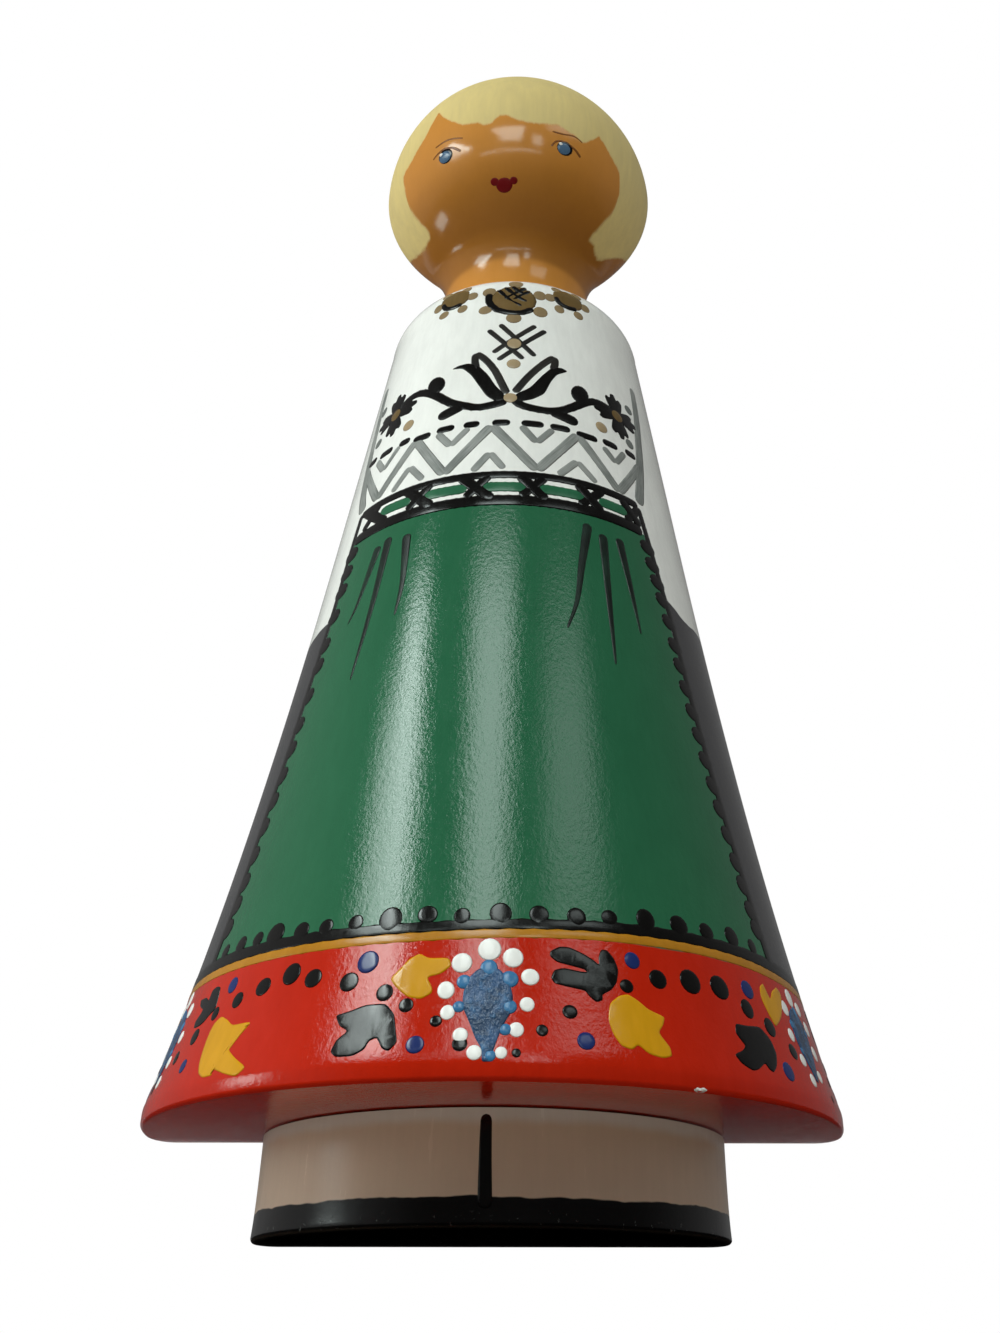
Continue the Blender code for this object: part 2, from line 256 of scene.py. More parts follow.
def leg_turning(sizes):
    """Legs and shoes: a rounded sole, an ankle and the top under the skirt."""
    top = LEG_HIGH.z
    round_off = sizes.foot_round
    foot = arc((sizes.foot_radius - round_off, round_off), (round_off, round_off), -math.pi / 2, 0, 8)
    ankle = (
        (sizes.ankle_radius, sizes.shoe_height),
        (sizes.ankle_radius, 0.6 * top + 0.4 * sizes.shoe_height),
    )
    return Turning(foot + bezier([foot[-1], *ankle, (sizes.leg_top_radius, top)], 24)[1:], sizes.corner_ease)


def body_turning(sizes):
    """Skirt and bodice: a rounded hem, a hollow flare, a straight bodice and the shoulder."""
    round_off = sizes.hem_round
    edge = arc((sizes.hem_radius - round_off, round_off), (round_off, round_off), -math.pi / 2, 0, 8)
    band_top = (sizes.hem_radius - HEM_CORNER[0], sizes.hem_band + HEM_CORNER[1])
    hem = [*edge, (sizes.hem_radius, sizes.hem_band), band_top]
    waist = (sizes.waist_radius, sizes.skirt_height)
    shoulder = (sizes.shoulder_radius, sizes.skirt_height + sizes.bodice_height)
    bodice_slope = (sizes.waist_radius - sizes.shoulder_radius) / sizes.bodice_height
    hem_slope = math.tan(sizes.hem_lean)
    drop = band_top[0] + hem_slope * band_top[1] - waist[0] - bodice_slope * waist[1]
    bend_height = drop / (hem_slope - bodice_slope)
    bend = (waist[0] + bodice_slope * (waist[1] - bend_height), bend_height)
    skirt = bezier([band_top, bend, waist], 40)
    bodice = bezier([waist, shoulder], 12)
    reach = (sizes.shoulder_radius - sizes.neck_base_radius, BODY_HIGH.z - BODY_LOW.z - shoulder[1])
    round_over = arc((sizes.neck_base_radius, shoulder[1]), reach, 0, math.pi / 2, 24)
    return Turning(raised(hem + skirt[1:] + bodice[1:] + round_over[1:], BODY_LOW.z), sizes.corner_ease)


def head_turning(sizes):
    """Neck and head: a hollow neck that runs into an upright ball."""
    sink = math.sqrt(1 - (sizes.neck_join_radius / sizes.head_radius) ** 2)
    centre = sizes.neck_length + sizes.head_half_height * sink
    join_slope = sizes.head_half_height * sizes.neck_join_radius / (sizes.head_radius**2 * sink)
    lead = sizes.neck_join_radius - sizes.neck_radius
    throat = (
        (sizes.neck_radius, sizes.neck_length / 4),
        (sizes.neck_radius, sizes.neck_length - lead * join_slope),
    )
    join = (sizes.neck_join_radius, sizes.neck_length)
    neck = bezier([(sizes.neck_base_radius, 0), *throat, join], 24)
    start = -math.acos(sizes.neck_join_radius / sizes.head_radius)
    ball = arc((0, centre), (sizes.head_radius, sizes.head_half_height), start, math.pi / 2, 72)
    return Turning(raised(neck + ball[1:], HEAD_LOW.z), sizes.corner_ease)


def cut_across(bm, point, way):
    """Gives the mesh new edges where a plane crosses it."""
    everything = [*bm.verts, *bm.edges, *bm.faces]
    bmesh.ops.bisect_plane(bm, geom=everything, plane_co=point, plane_no=way)


def ease_corners(bm, turning):
    """Rounds the corners between the turned side and the flat back."""
    for share in EASE_CUTS:
        cut_across(bm, (0, BACK_Y - 2 * share * turning.ease, 0), (0, 1, 0))
    for vert in bm.verts:
        vert.co = turning.eased(vert.co)


def half_turned(turning):
    """A closed half-round solid with a flat back."""
    bm = bmesh.new()
    outline = [(0, turning.outline[0][1]), *turning.outline]
    if outline[-1][0] > 0.001 * MM:
        outline.append((0, outline[-1][1]))
    points = [bm.verts.new((radius, BACK_Y, height)) for radius, height in outline]
    edges = [bm.edges.new(pair) for pair in zip(points, points[1:])]
    bmesh.ops.spin(
        bm, geom=points + edges, cent=(0, BACK_Y, 0), axis=(0, 0, 1), angle=-math.pi, steps=HALF_TURN_STEPS
    )
    bmesh.ops.remove_doubles(bm, verts=bm.verts, dist=0.001 * MM)
    ease_corners(bm, turning)
    bmesh.ops.contextual_create(bm, geom=[edge for edge in bm.edges if edge.is_boundary])
    return bm


# Paint laid on the turned wood. Flat art is drawn in degrees, millimetres and lift, then bent round.


class Path:
    """A smooth line through points, measured along its length."""

    def __init__(self, points):
        points = [Vector(point) for point in points]
        if len(points) > 2:
            line = []
            padded = [2 * points[0] - points[1], *points, 2 * points[-1] - points[-2]]
            for a, b, c, d in zip(padded, padded[1:], padded[2:], padded[3:]):
                for step in range(CURVE_STEPS):
                    t = step / CURVE_STEPS
                    curve = 2 * b + (c - a) * t + (2 * a - 5 * b + 4 * c - d) * t**2
                    line.append((curve + (3 * b - a - 3 * c + d) * t**3) / 2)
            points = [*line, points[-1]]
        self.points = points
        self.marks = [0.0]
        for a, b in zip(points, points[1:]):
            self.marks.append(self.marks[-1] + (b - a).length)
        self.length = self.marks[-1]

    def at(self, distance):
        """Point and direction at a distance from the start."""
        for i, mark in enumerate(self.marks[1:]):
            if mark >= distance or mark == self.length:
                a, b = self.points[i], self.points[i + 1]
                share = (distance - self.marks[i]) / max(mark - self.marks[i], 1e-9)
                return a.lerp(b, share), (b - a).normalized()


class Brush:
    """Flat art for one turned piece, kept in one mesh until it is laid on."""

    def __init__(self, turning):
        self.turning = turning
        self.bm = bmesh.new()

    def stroke(self, points, width, lift=0.08, ends=(1.0, 1.0), step=1.4):
        """One brush stroke: a flat closed bead along points of (degrees, millimetres)."""
        middle = sum(height for _, height in points) / len(points)
        degree = self.turning.degree(middle)
        path = Path([(angle * degree, height) for angle, height in points])
        count = max(FEWEST_STEPS, round(path.length / step))
        uv = self.bm.loops.layers.uv.verify()
        made = bmesh.ops.create_grid(self.bm, x_segments=count, y_segments=STROKE_SIDES, size=1.0)["verts"]
        marks = {}
        for vert in made:
            share = (vert.co.x + 1) / 2
            share -= END_CROWDING * math.sin(2 * math.pi * share)
            distance = share * path.length
            centre, along = path.at(distance)
            room = min(distance, path.length - distance) / (width / 2)
            rounding = math.sqrt(max(0.0, 1 - (1 - min(1.0, room)) ** 2))
            half = width / 2 * (ends[0] + (ends[1] - ends[0]) * share) * rounding
            turn = math.pi * vert.co.y
            side = half * math.cos(turn)
            thick = lift if math.sin(turn) > 0 else SINK
            marks[vert] = (distance, math.cos(turn))
            vert.co = (
                (centre.x - along.y * side) / degree,
                centre.y + along.x * side,
                thick * math.sin(turn) * rounding,
            )
        for face in {face for vert in made for face in vert.link_faces}:
            for loop in face.loops:
                loop[uv].uv = marks[loop.vert]

    def strokes(self, lines, width, lift=0.08, ends=(1.0, 1.0), step=1.4):
        """Strokes of one kind, one after another."""
        for line in lines:
            self.stroke(line, width, lift, ends, step)

    def dab(self, angle, height, width, tall, lift=0.1, turn=0.0):
        """One round dab of paint: a flattened ball, its underside just in the wood."""
        self.bm.loops.layers.uv.verify()
        made = bmesh.ops.create_uvsphere(self.bm, u_segments=16, v_segments=6, radius=1.0)["verts"]
        under = [vert for vert in made if vert.co.z < -0.01]
        bmesh.ops.scale(self.bm, verts=under, vec=(1, 1, SINK / lift))
        place = (
            Matrix.Translation((angle, height, 0))
            @ Matrix.Diagonal((1 / self.turning.degree(height), 1, 1, 1))
            @ Matrix.Rotation(math.radians(turn), 4, "Z")
            @ Matrix.Diagonal((width / 2, tall / 2, lift, 1))
        )
        bmesh.ops.transform(self.bm, matrix=place, verts=made)

    def dabs(self, places, lift=0.1):
        """Dabs of (degrees, millimetres, size), each a little different as a hand makes them."""
        for angle, height, size in places:
            grow = 1 + DAB_UNEVEN * noise.noise((angle * 0.7, height * 0.7, 0))
            lean = DAB_LEAN * noise.noise((height, angle * 0.3, 5.0))
            self.dab(angle, height, DAB_SPREAD * size * grow, DAB_SPREAD * size * (2 - grow), lift, lean)

    def patch(self, corners, lift=0.07, soften=1):
        """One filled shape with corners of (degrees, millimetres), rounded as a brush leaves them."""
        middle = sum(height for _, height in corners) / len(corners)
        degree = self.turning.degree(middle)
        flat = bmesh.new()
        flat.loops.layers.uv.verify()
        face = flat.faces.new([flat.verts.new((angle * degree, height, -SINK)) for angle, height in corners])
        face.normal_update()
        if face.normal.z < 0:
            face.normal_flip()
        bmesh.ops.subdivide_edges(flat, edges=flat.edges, cuts=3)
        for _ in range(soften):
            bmesh.ops.smooth_vert(
                flat, verts=flat.verts, factor=0.5, use_axis_x=True, use_axis_y=True, use_axis_z=False
            )
        pushed = bmesh.ops.extrude_face_region(flat, geom=list(flat.faces), use_keep_orig=True)["geom"]
        top = [item for item in pushed if isinstance(item, bmesh.types.BMFace)]
        moved = [item for item in pushed if isinstance(item, bmesh.types.BMVert)]
        bmesh.ops.translate(flat, verts=moved, vec=(0, 0, SINK + 0.4 * lift))
        bmesh.ops.inset_region(flat, faces=top, thickness=PATCH_RIM, depth=0.0, use_even_offset=True)
        inner = list({vert for item in top for vert in item.verts})
        bmesh.ops.translate(flat, verts=inner, vec=(0, 0, 0.6 * lift))
        bmesh.ops.triangulate(flat, faces=[item for item in flat.faces if len(item.verts) > 4])
        for axis, pitch in enumerate(PATCH_PITCH):
            low = min(vert.co[axis] for vert in flat.verts)
            high = max(vert.co[axis] for vert in flat.verts)
            way = Vector((1 - axis, axis, 0))
            for cut in range(1, math.ceil((high - low) / pitch)):
                cut_across(flat, way * (low + cut * pitch), way)
        bmesh.ops.scale(flat, verts=flat.verts, vec=(1 / degree, 1, 1))
        drawn = mesh_from("drawn", flat)
        self.bm.from_mesh(drawn)
        bpy.data.meshes.remove(drawn)

    def patches(self, outlines, lift=0.07):
        """Filled shapes of one kind, one after another."""
        for outline in outlines:
            self.patch(outline, lift)

    def lay_on(self):
        """Bends the flat art round the turned wood."""
        for vert in self.bm.verts:
            vert.co = self.turning.place(*vert.co)


def mesh_from(name, bm):
    """A mesh with all that was built in bm, which is let go."""
    mesh = bpy.data.meshes.new(name)
    bm.to_mesh(mesh)
    bm.free()
    return mesh


def put_in_scene(name, data):
    item = bpy.data.objects.new(name, data)
    bpy.context.scene.collection.objects.link(item)
    return item


def finish_piece(name, bm, materials):
    """Makes a mesh object that moves with the doll."""
    bmesh.ops.remove_doubles(bm, verts=bm.verts, dist=0.002 * MM)
    bmesh.ops.recalc_face_normals(bm, faces=bm.faces)
    if not bm.faces:
        raise RuntimeError(f"{name} has no faces")
    mesh = mesh_from(name, bm)
    mesh.shade_smooth()
    for material in materials:
        mesh.materials.append(material)
    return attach(put_in_scene(name, mesh), "doll")


def paint_piece(name, turning, material, draw):
    """One piece of painted ornament: draw fills a brush with flat art."""
    brush = Brush(turning)
    draw(brush)
    brush.lay_on()
    return finish_piece(name, brush.bm, [material])


# Shader nodes


def add_node(tree, kind, **values):
    node = tree.nodes.new(kind)
    for name, value in values.items():
        setattr(node, name, value)
    return node


def feed(tree, socket, value):
    """Links a socket, or sets a plain value."""
    if isinstance(value, bpy.types.NodeSocket):
        tree.links.new(value, socket)
    else:
        socket.default_value = value


def maths(tree, operation, *values):
    node = add_node(tree, "ShaderNodeMath", operation=operation)
    for socket, value in zip(node.inputs, values):
        feed(tree, socket, value)
    return node.outputs[0]


def plus(tree, first, second):
    return maths(tree, "ADD", first, second)


def minus(tree, first, second):
    return maths(tree, "SUBTRACT", first, second)


def times(tree, first, *more):
    for value in more:
        first = maths(tree, "MULTIPLY", first, value)
    return first


def weighted(tree, first, *more):
    """Sum of (value, weight) pairs."""
    total = times(tree, *first)
    for pair in more:
        total = plus(tree, total, times(tree, *pair))
    return total


def swing(tree, value, middle, size):
    """How far a value lies from its middle, made larger or smaller."""
    return times(tree, minus(tree, value, middle), size)


def rise(tree, value, low, high):
    """Smooth step from 0 at low to 1 at high."""
    node = add_node(tree, "ShaderNodeMapRange", interpolation_type="SMOOTHSTEP")
    for socket, given in zip(node.inputs, (value, low, high)):
        feed(tree, socket, given)
    return node.outputs[0]


def spread(tree, value, low, high):
    """A share from 0 to 1 spread between two values."""
    node = add_node(tree, "ShaderNodeMapRange")
    feed(tree, node.inputs[0], value)
    feed(tree, node.inputs[3], low)
    feed(tree, node.inputs[4], high)
    return node.outputs[0]


def mixed(tree, share, first, second):
    """A colour between two colours."""
    node = add_node(tree, "ShaderNodeMix", data_type="RGBA")
    feed(tree, node.inputs[0], share)
    for socket, value in ((node.inputs[6], first), (node.inputs[7], second)):
        feed(tree, socket, value if isinstance(value, bpy.types.NodeSocket) else (*value, 1.0))
    return node.outputs[2]


def scaled(tree, shade, factor):
    """A colour made brighter or darker."""
    node = add_node(tree, "ShaderNodeVectorMath", operation="SCALE")
    feed(tree, node.inputs[0], shade)
    feed(tree, node.inputs["Scale"], factor)
    return node.outputs[0]


def parts_of(tree, vector):
    node = add_node(tree, "ShaderNodeSeparateXYZ")
    tree.links.new(vector, node.inputs[0])
    return node.outputs


def coordinates(tree, kind):
    return add_node(tree, "ShaderNodeTexCoord").outputs[kind]


def stretched(tree, vector, scale):
    """Coordinates scaled along each axis."""
    mapping = add_node(tree, "ShaderNodeMapping")
    mapping.inputs["Scale"].default_value = scale
    tree.links.new(vector, mapping.inputs["Vector"])
    return mapping.outputs["Vector"]


def in_millimetres(tree, scale=(1, 1, 1)):
    """Object coordinates in millimetres, scaled along each axis."""
    return stretched(tree, coordinates(tree, "Object"), [value / MM for value in scale])


def clouds(tree, vector, scale, detail=3.0, roughness=0.55):
    node = add_node(tree, "ShaderNodeTexNoise")
    for name, value in (("Vector", vector), ("Scale", scale), ("Detail", detail), ("Roughness", roughness)):
        feed(tree, node.inputs[name], value)
    return node.outputs["Fac"]


def speckle(tree, stretch, scale=1.0, detail=3.0, roughness=0.55):
    """Soft noise on the wood, a cell to each millimetre before it is stretched."""
    return clouds(tree, in_millimetres(tree, stretch), scale, detail, roughness)


def new_group(name, inputs, outputs):
    """An empty shader group with named sockets, what it is given and what it puts out."""
    tree = bpy.data.node_groups.new(name, "ShaderNodeTree")
    for label, kind, default in inputs:
        socket = tree.interface.new_socket(label, in_out="INPUT", socket_type=kind)
        socket.default_value = default
    for label, kind in outputs:
        tree.interface.new_socket(label, in_out="OUTPUT", socket_type=kind)
    return tree, tree.nodes.new("NodeGroupInput").outputs, tree.nodes.new("NodeGroupOutput").inputs


FLOAT = "NodeSocketFloat"
COLOUR = "NodeSocketColor"
FINISH = (("Colour", COLOUR), ("Roughness", FLOAT), ("Height", FLOAT))
WHITE, BLACK = (1, 1, 1, 1), (0, 0, 0, 1)


def place_group():
    """Degrees from the front and millimetres up, for zones on the turned wood."""
    outputs = (("Angle", FLOAT), ("Height", FLOAT), ("Wobble", FLOAT))
    tree, _, out = new_group("Place on turning", (), outputs)
    parts = parts_of(tree, coordinates(tree, "Object"))
    turn = maths(tree, "ARCTAN2", parts["X"], minus(tree, BACK_Y, parts["Y"]))
    feed(tree, out["Angle"], maths(tree, "DEGREES", turn))
    feed(tree, out["Height"], maths(tree, "DIVIDE", parts["Z"], MM))
    feed(tree, out["Wobble"], minus(tree, speckle(tree, (1, 1, 1), 0.12, 2.0), 0.5))
    return tree


def film_group():
    """A lacquered coat of paint: mottling, brush marks and the wood's grain under it."""
    inputs = (("Colour", COLOUR, WHITE), ("Mottle", FLOAT, 0.2), ("Gloss", FLOAT, 0.2), ("Grain", FLOAT, 1.0))
    tree, given, out = new_group("Paint film", inputs, FINISH)
    mottle = speckle(tree, (1, 1, 0.5), 0.16, 4.0, 0.6)
    brush = speckle(tree, (0.9, 0.9, 0.06), roughness=0.5)
    ridges = speckle(tree, (1, 1, 0.7), 1.0, 4.0, 0.65)
    grit = speckle(tree, (1, 1, 0.8), 2.4, 2.0, 0.6)
    tone = weighted(tree, (mottle, 0.65), (brush, 0.35))
    bright = plus(tree, times(tree, swing(tree, tone, 0.5, given["Mottle"]), 2.0), 1.0)
    feed(tree, out["Colour"], scaled(tree, given["Colour"], bright))
    dull = plus(tree, swing(tree, brush, 0.4, 0.15), swing(tree, mottle, 0.45, 0.2))
    feed(tree, out["Roughness"], plus(tree, dull, given["Gloss"]))
    marks = weighted(tree, (ridges, 0.9), (brush, 0.06), (grit, 0.25))
    feed(tree, out["Height"], times(tree, marks, given["Grain"]))
    return tree


def bristle_group():
    """Thin paint dragged by a brush: streaks that run along each stroke."""
    inputs = (("Thick", COLOUR, BLACK), ("Thin", COLOUR, WHITE), ("Cover", FLOAT, 0.5))
    tree, given, out = new_group("Bristle streaks", inputs, FINISH)
    along_stroke = stretched(tree, coordinates(tree, "UV"), (0.09, 2.6, 1.0))
    hairs = clouds(tree, along_stroke, 1.6, 3.0, 0.6)
    pool = speckle(tree, (1, 1, 1), 0.11, 2.0)
    level = weighted(tree, (hairs, 0.7), (pool, 0.5))
    softness = 0.16
    bare = rise(tree, level, minus(tree, given["Cover"], softness), plus(tree, given["Cover"], softness))
    feed(tree, out["Colour"], mixed(tree, bare, given["Thick"], given["Thin"]))
    feed(tree, out["Roughness"], spread(tree, hairs, 0.2, 0.42))
    feed(tree, out["Height"], hairs)
    return tree


def grain_group():
    """Bare wood: growth bands along the piece, fine pores and handling marks."""
    inputs = (("Light", COLOUR, WHITE), ("Dark", COLOUR, BLACK), ("Bands", FLOAT, 1.0))
    tree, given, out = new_group("Wood grain", inputs, FINISH)
    drift = speckle(tree, (0.03, 0.03, 0.006), detail=2.0)
    parts = parts_of(tree, in_millimetres(tree, (0.16, 0.10, 0.004)))
    ring = plus(tree, parts["X"], times(tree, parts["Y"], 0.6))
    ring = plus(tree, ring, times(tree, drift, 5.0))
    band = maths(tree, "FRACT", times(tree, plus(tree, ring, parts["Z"]), given["Bands"]))
    fall = rise(tree, minus(tree, 1.0, band), 0.0, 0.1)
    band = times(tree, rise(tree, band, 0.2, 0.85), fall)
    pores = speckle(tree, (2.2, 2.2, 0.09), 1.0, 4.0, 0.7)
    dirt = speckle(tree, (0.05, 0.05, 0.04), 1.0, 4.0)
    wood = given["Light"]
    for dark in (
        times(tree, band, 0.75),
        times(tree, rise(tree, pores, 0.52, 0.72), 0.45),
        times(tree, rise(tree, dirt, 0.45, 0.75), 0.35),
    ):
        wood = mixed(tree, dark, wood, given["Dark"])
    feed(tree, out["Colour"], wood)
    feed(tree, out["Roughness"], spread(tree, pores, 0.5, 0.75))
    feed(tree, out["Height"], minus(tree, times(tree, band, 0.4), pores))
    return tree


def chip_group():
    """Small chips and scuffs in paint, where edges get knocked."""
    inputs = (("Size", FLOAT, 1.0), ("Amount", FLOAT, 0.5))
    tree, given, out = new_group("Chips", inputs, (("Mask", FLOAT),))
    spots = speckle(tree, (1, 1, 1), given["Size"], 4.0, 0.6)
    edge = minus(tree, 0.82, times(tree, given["Amount"], 0.3))
    feed(tree, out["Mask"], rise(tree, spots, edge, plus(tree, edge, 0.02)))
    return tree


def zinc_group():
    """Zinc plate: faint spangle, fine scratches and dulled patches."""
    inputs = (("Colour", COLOUR, WHITE), ("Dull", FLOAT, 0.35))
    tree, given, out = new_group("Zinc plate", inputs, FINISH)
    spangle = add_node(tree, "ShaderNodeTexVoronoi")
    feed(tree, spangle.inputs["Vector"], in_millimetres(tree))
    spangle.inputs["Scale"].default_value = 0.9
    cell = add_node(tree, "ShaderNodeSeparateColor")
    tree.links.new(spangle.outputs["Color"], cell.inputs[0])
    haze = speckle(tree, (0.3, 0.3, 0.3))
    tone = weighted(tree, (cell.outputs[0], 0.16), (haze, 0.3))
    feed(tree, out["Colour"], scaled(tree, given["Colour"], plus(tree, tone, 0.74)))
    feed(tree, out["Roughness"], plus(tree, swing(tree, haze, 0.45, 0.5), given["Dull"]))
    feed(tree, out["Height"], speckle(tree, (6, 6, 0.25), roughness=0.7))
    return tree


GROUP_MAKERS = {
    "Place on turning": place_group,
    "Paint film": film_group,
    "Bristle streaks": bristle_group,
    "Wood grain": grain_group,
    "Chips": chip_group,
    "Zinc plate": zinc_group,
}


def use_group(tree, name, **values):
    """Places a shared group, built when first asked for, with its own values."""
    node = add_node(tree, "ShaderNodeGroup")
    node.node_tree = bpy.data.node_groups.get(name) or GROUP_MAKERS[name]()
    for label, value in values.items():
        plain = isinstance(value, bpy.types.NodeSocket) or not hasattr(value, "__len__")
        feed(tree, node.inputs[label], value if plain else (*value, 1.0))
    return node.outputs


def new_material(name):
    material = bpy.data.materials.new(name)
    material.use_nodes = True
    return material, material.node_tree, material.node_tree.nodes["Principled BSDF"]


def raise_relief(tree, shader, height, strength, depth):
    """Shows heights as relief of a depth in millimetres."""
    relief = add_node(tree, "ShaderNodeBump")
    relief.inputs["Strength"].default_value = strength
    relief.inputs["Distance"].default_value = depth * MM
    tree.links.new(height, relief.inputs["Height"])
    tree.links.new(relief.outputs["Normal"], shader.inputs["Normal"])


def wear_finish(tree, shader, finish, bump, depth=0.1):
    """Feeds a finish group's outputs to the shader."""
    tree.links.new(finish["Colour"], shader.inputs["Base Color"])
    tree.links.new(finish["Roughness"], shader.inputs["Roughness"])
    raise_relief(tree, shader, finish["Height"], bump, depth)


def coated(name, group, bump, depth=0.1, specular=0.5, metallic=0.0, **values):
    """A new material that wears one finish group."""
    material, tree, shader = new_material(name)
    shader.inputs["Specular IOR Level"].default_value = specular
    shader.inputs["Metallic"].default_value = metallic
    wear_finish(tree, shader, use_group(tree, group, **values), bump, depth)
    return material


def shared(name, *finish, **values):
    """A coated material that is made only where none of its name is there yet."""
    return bpy.data.materials.get(name) or coated(name, *finish, **values)


def ornament(name, shade, mottle=0.18, gloss=0.16, shine=0.5):
    """Paint of one colour for strokes and dabs."""
    return shared(
        name, "Paint film", 0.2, specular=shine, Colour=shade, Mottle=mottle, Gloss=gloss, Grain=0.7
    )


def black_paint(colours):
    return ornament("black_paint", colours.black, mottle=0.2, gloss=0.14)


def olive_paint(colours):
    return ornament("olive_paint", colours.olive, mottle=0.4)


def thin_paint(name, thick, thin, cover):
    """Streaky paint that lets what is under it show."""
    return shared(name, "Bristle streaks", 0.3, Thick=thick, Thin=thin, Cover=cover)


def bare_wood(name, colours, bands=1.0):
    return shared(
        name, "Wood grain", 0.5, 0.15, Light=colours.wood_light, Dark=colours.wood_dark, Bands=bands
    )


def zinc(name, shade, dull):
    """Always new, because the frame brings plain materials of the same names."""
    return coated(name, "Zinc plate", 0.25, 0.05, metallic=1.0, Colour=shade, Dull=dull)


def wrinkled_paint(name, dark, light):
    """A thick dab of paint whose skin has wrinkled as it dried."""
    material, tree, shader = new_material(name)
    folds = speckle(tree, (1, 1, 0.7), 0.55, 3.0, 0.7)
    stain = speckle(tree, (1, 1, 1), 0.3, 3.0, 0.6)
    paint = mixed(tree, rise(tree, stain, 0.35, 0.6), tinted(dark, (0.5, 0.5, 0.5)), dark)
    # Fold crests are painted paler: partly the paint's own pale streaks, partly a painted highlight on the
    # crests
    paint = mixed(tree, times(tree, rise(tree, folds, 0.5, 0.75), 0.7), paint, light)
    tree.links.new(paint, shader.inputs["Base Color"])
    feed(tree, shader.inputs["Roughness"], spread(tree, stain, 0.08, 0.3))
    raise_relief(tree, shader, folds, 1.0, 0.5)
    return material


def tinted(colour, factors):
    """A colour with each part made stronger or weaker."""
    return [part * factor for part, factor in zip(colour, factors)]


def blended(first, second, share):
    """A plain colour between two plain colours."""
    return [(1 - share) * a + share * b for a, b in zip(first, second)]


def curve_value(tree, value, low, high, bottom, top, points, peaks=()):
    """A hand-drawn edge: points of (value, result) joined smoothly, but for sharp peaks."""
    share = add_node(tree, "ShaderNodeMapRange")
    feed(tree, share.inputs[0], value)
    share.inputs[1].default_value = low
    share.inputs[2].default_value = high
    node = add_node(tree, "ShaderNodeFloatCurve")
    tree.links.new(share.outputs[0], node.inputs["Value"])
    line = node.mapping.curves[0]
    placed = [((x - low) / (high - low), (y - bottom) / (top - bottom)) for x, y in points]
    line.points[0].location = placed[0]
    line.points[-1].location = placed[-1]
    for point in placed[1:-1]:
        line.points.new(*point)
    for point, (x, _) in zip(line.points, points):
        point.handle_type = "VECTOR" if x in peaks else "AUTO"
    node.mapping.update()
    return spread(tree, node.outputs[0], bottom, top)


# Edges of the painted zones, in degrees from the front and millimetres above the sole

BODICE_EDGE = (154.4, 154.6)
HEM_EDGE = (46.0, 45.6)
CUFF = ((-90, 131), (-52, 131), (50, 136.5), (60, 134), (67.5, 135), (90, 135))
FRINGE = (
    (-90, 279), (-80, 276), (-75, 274.5), (-65, 273), (-60, 273.5), (-59, 285), (-58, 290), (-57, 294),
    (-50, 296), (-45, 298.5), (-42, 300), (-38, 304.5), (-35, 309.5), (-29.5, 303), (-25.5, 300),
    (-21, 297.5), (-16.5, 297), (-11, 295.5), (-8, 297), (-4.5, 298.5), (-1, 297), (3, 296), (8, 295.5),
    (13, 296), (17.5, 296.5), (21, 295.5), (23.5, 295), (26, 294.5), (28.5, 293.5), (32.5, 295.5),
    (36.5, 299), (40, 297), (45, 294), (49.5, 292), (51.5, 289), (54, 284), (55, 271), (60, 270),
    (65, 270), (70, 272), (79, 276), (90, 280),
)
FRINGE_PEAKS = (-35, 36.5)
LEFT_CURL = ((270, -58), (273, -57), (275, -55), (278, -56.5), (281, -58), (285, -59), (290, -58))
RIGHT_CURL = ((270, 50.5), (272, 49.5), (274, 50.5), (277, 52), (280.5, 54), (285, 54), (290, 55))
# Painted shade on the skin: how light it is, from 0 to 1, against height; darkest under the chin
SKIN_PAINTED_SHADE = (
    (240, 1.0), (258.5, 0.95), (262, 0.1), (270, 0.05), (276, 0.2), (282, 0.5), (290, 0.9), (300, 1.0),
)
# Tints of the skin where it is painted shaded and where it is painted lit; the lit one is paler and bluer, a
# painted sheen
SHADED_SKIN_TINT, LIT_SKIN_TINT = (0.72, 0.68, 0.5), (1.34, 1.38, 1.7)
SHOE_EDGE = (5.2, 4.9)
SOLE = display(52, 44, 36)


def wobbled(tree, place, which, size):
    """A place that wanders a little, so that an edge looks painted by hand."""
    return plus(tree, place[which], times(tree, place["Wobble"], size))


def dress_material(colours):
    """Red hem, green apron, charcoal skirt and white bodice on one turned body."""
    material, tree, shader = new_material("dress_paint")
    place = use_group(tree, "Place on turning")
    angle = wobbled(tree, place, "Angle", 0.8)
    height = wobbled(tree, place, "Height", 0.9)
    edges = []
    for line, low, high in ((LEFT_BORDER, -70, -40), (RIGHT_BORDER, 40, 70)):
        points = [(up, across) for across, up in reversed(line)]
        edge = curve_value(tree, place["Height"], points[0][0], points[-1][0], low, high, points)
        edges.append(minus(tree, angle, edge))
    apron = times(tree, rise(tree, edges[0], -0.2, 0.2), rise(tree, edges[1], 0.2, -0.2))
    cuff = curve_value(tree, angle, -90, 90, 120, 145, CUFF)
    sleeve = rise(tree, minus(tree, height, cuff), -0.15, 0.15)
    paint = mixed(tree, sleeve, colours.charcoal, colours.white)
    paint = mixed(tree, apron, paint, colours.green)
    paint = mixed(tree, rise(tree, height, *BODICE_EDGE), paint, colours.white)
    paint = mixed(tree, rise(tree, height, *HEM_EDGE), paint, colours.red)
    chips = use_group(tree, "Chips", Size=0.7, Amount=0.2)["Mask"]
    rim = times(tree, rise(tree, place["Height"], 23.0, 20.5), rise(tree, place["Height"], 19.9, 20.2))
    paint = mixed(tree, times(tree, chips, rim), paint, colours.white)
    finish = use_group(tree, "Paint film", Colour=paint, Mottle=0.16, Gloss=0.05, Grain=1.0)
    wear_finish(tree, shader, finish, 1.0, 0.065)
    return material


